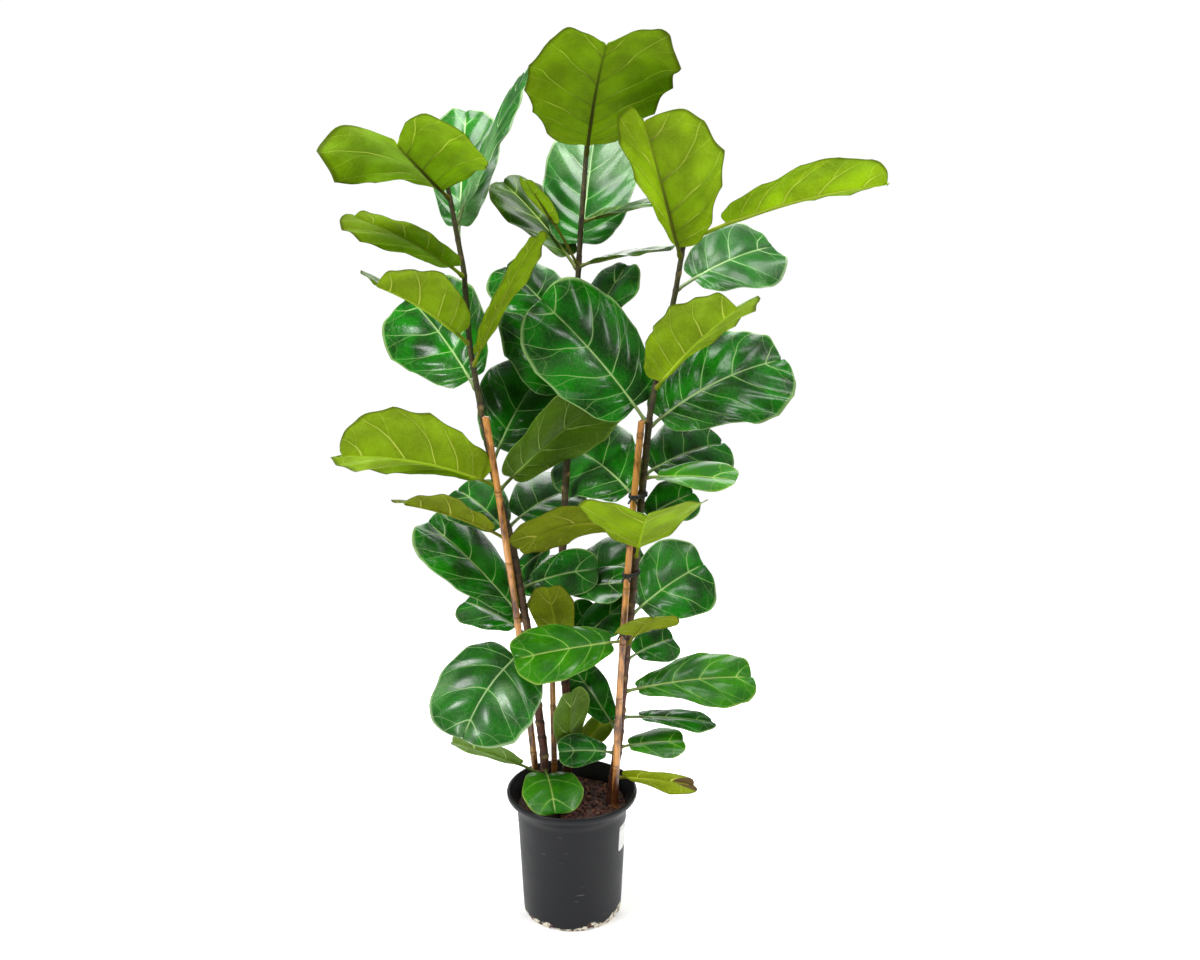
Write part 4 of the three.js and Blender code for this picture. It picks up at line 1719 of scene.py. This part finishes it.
TIE_HEIGHTS = (600.0, 715.0, 868.0)

# Each stem's leaves from the soil up, named after it and numbered from 1.
# A darkening tint is partly a leaf's own tone and, where it sits deep inside the plant, a painted
# shade.
LEAF_ROWS: dict[str, tuple[LeafForm, ...]] = {
    "left": (
        LeafForm(282, 180, 28, 13, 42, 148, 108, 45, 20, 20, Tone.FRESH),
        LeafForm(293, -76, 2, 62, 16, 94, 122, -6, 12, 5, Tone.FRESH, waist=0.9, tint=0.35),
        LeafForm(550, -133, -12, 52, 32, 195, 215, -18, 12, 20, Tone.PAINTED_SILVER, waist=0.95,
                 lobe=0.07),
        LeafForm(575, 133, 14, 20, 30, 165, 110, -20, 12, 20, Tone.MATURE, tint=-0.4),
        LeafForm(608, 146, 42, 18, 20, 265, 165, -12, 12, 20, Tone.MATURE, tint=-0.2),
        LeafForm(628, 66, 28, 20, 30, 145, 105, 0, 12, 20, Tone.MATURE, tint=-0.1),
        LeafForm(765, 178, 32, 15, 35, 195, 150, 20, 30, 20, Tone.AGED, bend=50, dry=0.3),
        LeafForm(770, 122, 22, 25, 30, 190, 130, -30, 12, 20, Tone.MATURE, tint=-0.2),
        LeafForm(790, 55, 20, 30, 30, 190, 160, 30, 12, 20, Tone.MATURE, tint=-0.5),
        LeafForm(865, -4, 48, 12, 30, 270, 165, -55, 12, 20, Tone.FRESH, tint=-0.2),
        LeafForm(875, -150, 30, 25, 20, 300, 210, 50, 40, 20, Tone.YOUNG, tint=0.25),
        LeafForm(915, 64, 48, 30, 30, 220, 190, 30, 12, 20, Tone.MATURE, tint=-0.6),
        LeafForm(1059, 130, 43, 20, 20, 245, 215, -45, 12, 20, Tone.MATURE),
        LeafForm(1108, -50, 60, 15, 30, 290, 110, 20, 12, 20, Tone.YOUNG, tint=-0.1, dark_rib=0.3),
        LeafForm(1146, -126, 40, 20, 30, 240, 170, 10, 45, 20, Tone.YOUNG),
        LeafForm(1268, -131, 37, 20, 30, 250, 140, 15, 12, 20, Tone.YOUNG, tint=0.15, dark_rib=0.3),
        LeafForm(1330, 90, 50, 15, 30, 290, 140, 0, 12, 20, Tone.PAINTED_SILVER),
        LeafForm(1362, 40, 63, 10, 25, 280, 145, -22, 10, 15, Tone.PAINTED_SILVER),
        LeafForm(1405, -118, 34, 0, 20, 205, 310, 10, 34, 45, Tone.YOUNG, waist=0.7, lobe=0,
                 notch=0.2, tint=0.3, dark_rib=1),
    ),
    "middle": (
        LeafForm(640, 30, 25, 20, 25, 170, 160, 30, 12, 20, Tone.MATURE, tint=-0.7),
        LeafForm(745, 172, -25, 30, 20, 100, 80, -30, 12, 20, Tone.MATURE, tint=-0.5),
        LeafForm(1010, 100, 50, 20, 30, 270, 230, 0, 12, 20, Tone.MATURE, waist=0.85),
        LeafForm(1150, 128, 30, 10, 30, 210, 150, -20, 12, 20, Tone.MATURE),
        LeafForm(1272, 132, 41, 15, 30, 230, 120, -15, 20, 20, Tone.OLIVE),
        LeafForm(1277, -24, 20, 16, 20, 165, 105, 0, 20, 20, Tone.OLIVE),
        LeafForm(1283, -131, 55, 10, 95, 110, 75, -10, 20, 20, Tone.YOUNG, tint=0.4, dark_rib=1),
        LeafForm(1290, 82, 52, 12, 30, 280, 185, 0, 12, 20, Tone.PAINTED_SILVER, waist=0.8),
        LeafForm(1356, 12, 16, 10, 20, 200, 110, 0, 20, 20, Tone.OLIVE),
        LeafForm(1478, -80, 57, 32, 15, 300, 262, 0, 15, 25, Tone.YOUNG, waist=0.72, lobe=0.03,
                 notch=0.12, tint=-0.4, dark_rib=1),
    ),
    "right": (
        LeafForm(285, -25, 14, 15, 15, 150, 110, -50, 12, 20, Tone.AGED, tint=0.9, dry=1),
        LeafForm(350, 15, 5, 15, 15, 115, 80, 25, 12, 20, Tone.FRESH),
        LeafForm(385, 128, 36, 10, 20, 150, 90, -20, 12, 20, Tone.MATURE, tint=-0.3),
        LeafForm(413, 22, -8, 10, 35, 165, 80, 10, 12, 20, Tone.MATURE, tint=-0.3),
        LeafForm(468, 24, 3, 15, 25, 262, 140, 35, 12, 20, Tone.FRESH, waist=0.4),
        LeafForm(535, 45, 12, 20, 20, 110, 95, 35, 12, 20, Tone.MATURE, tint=-0.1),
        LeafForm(575, -72, 42, 10, 40, 130, 130, 0, 12, 20, Tone.AGED, lobe=0.02),
        LeafForm(575, -165, 0, 8, 25, 195, 135, -35, 12, 20, Tone.FRESH),
        LeafForm(628, 44, 24, 20, 20, 190, 180, 45, 12, 20, Tone.MATURE),
        LeafForm(750, -86, 42, 10, 40, 190, 250, 0, 20, 0, Tone.YOUNG, lobe=0.03, tint=-0.02),
        LeafForm(790, -174, 30, 75, 22, 215, 120, 55, 20, 20, Tone.AGED, tint=-0.2),
        LeafForm(850, 125, 28, 30, 30, 215, 190, -40, 12, 20, Tone.MATURE),
        LeafForm(900, -15, 10, 15, 20, 150, 105, 15, 20, 20, Tone.FRESH),
        LeafForm(905, 50, 12, 20, 20, 225, 165, 40, 12, 20, Tone.MATURE, tint=-0.6),
        LeafForm(998, 30, 32, 30, 20, 295, 225, 40, 12, 20, Tone.MATURE, tint=-0.38),
        LeafForm(1008, 173, 56, 15, 30, 268, 205, -60, 12, 20, Tone.MATURE, waist=0.85),
        LeafForm(1072, -57, 45, 15, 15, 280, 190, -8, 38, 20, Tone.YOUNG),
        LeafForm(1247, 42, 22, 20, 40, 220, 165, 40, 12, 20, Tone.PAINTED_SILVER),
        LeafForm(1308, -122, 65, 8, 15, 262, 235, -2, 45, 20, Tone.YOUNG, dark_rib=0.9),
        LeafForm(1332, -14, 27, 20, 75, 290, 135, -35, 45, 20, Tone.YOUNG, tint=0.4, dark_rib=0.4),
    ),
}

# Small leaves deep between the stems, which no node stands for.
# Their darkening tint is a painted shade, for where they sit deep in the plant.
INNER_ROWS: tuple[LeafForm, ...] = (
    LeafForm(482, 57, 55, 10, 15, 136, 114, 5, 15, 20, Tone.MATURE, tint=-0.4, stem="middle"),
    LeafForm(520, 22, 42, 10, 18, 140, 108, 20, 15, 20, Tone.MATURE, tint=-0.4, stem="middle"),
    LeafForm(300, -84, 70, 8, 18, 190, 88, 30, 15, 20, Tone.FRESH, tint=-0.5, stem="middle"),
    LeafForm(339, 188, 14, 20, 13, 96, 69, -67, 15, 20, Tone.MATURE, tint=-0.2, stem="right"),
    LeafForm(522, -111, 72, 8, 19, 163, 90, 20, 15, 20, Tone.AGED, tint=-0.5, stem="middle"),
    LeafForm(577, 111, 36, 10, 18, 137, 105, 19, 15, 20, Tone.MATURE, tint=-0.5, stem="middle"),
    LeafForm(672, 5, 24, 24, 18, 130, 94, 68, 15, 20, Tone.MATURE, tint=-0.5, stem="left"),
    LeafForm(652, -20, 22, 15, 18, 116, 90, 40, 15, 20, Tone.MATURE, tint=-0.5, stem="middle"),
    LeafForm(1120, 38, 56, 10, 30, 165, 140, 0, 15, 20, Tone.MATURE, tint=-0.5, stem="middle"),
    LeafForm(815, 40, 20, 16, 15, 120, 100, 40, 15, 20, Tone.MATURE, tint=-0.4, stem="right"),
    LeafForm(300, 20, 50, 10, 15, 100, 80, 10, 15, 20, Tone.AGED, tint=-0.5, stem="middle"),
)

LEAVES: tuple[LeafForm, ...] = (
    *(
        replace(form, node=f"{stem}_leaf_{number:02d}", stem=stem)
        for stem, forms in LEAF_ROWS.items()
        for number, form in enumerate(forms, start=1)
    ),
    *(
        replace(form, node=f"inner_leaf_{number}")
        for number, form in enumerate(INNER_ROWS, start=1)
    ),
)


class Plant:
    """The whole potted plant, built piece by piece."""

    def __init__(self) -> None:
        """Makes the finishes that its pieces share."""
        self.skins = {tone: finish.build() for tone, finish in LEAF_FINISHES.items()}
        self.bark = BarkFinish().build()
        self.bamboo = BambooFinish().build()
        self.soil = SoilFinish().build()
        self.plastic = PotFinish().build()
        self.cord = PlainFinish("tie_cord", (34, 38, 30), 0.6).build()
        self.film = PlainFinish("label_film", (240, 240, 238), 0.35, 60.0).build()

    def build(self) -> None:
        """Makes the pot, then what grows in it, from the soil up."""
        pot = Pot()
        pot.build(self.plastic, self.film)
        Soil(pot).build(self.soil)
        for number, (name, form) in enumerate(STEMS.items()):
            nodes = [(leaf.height, leaf.heading) for leaf in LEAVES if leaf.stem == name]
            Stem(form, nodes, STEM_SEED + number).build(self.bark)
        for cane in CANES.values():
            cane.build(self.bamboo)
        for number, height in enumerate(TIE_HEIGHTS, start=1):
            Tie(number, height, STEMS["right"], CANES["right"]).build(self.cord)
        for number, form in enumerate(LEAVES):
            Leaf(form, STEMS[form.stem], LEAF_SEED + number).build(self.skins[form.tone])


def main() -> None:
    """Loads the frame, notes how many nodes it has, then dresses and lights it."""
    logging.basicConfig(level=logging.INFO, format="%(name)s: %(message)s")
    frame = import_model()
    LOG.info("frame of %d nodes", len(frame["nodes"]))
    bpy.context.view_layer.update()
    Plant().build()
    Studio().build()


if __name__ == "__main__":
    main()
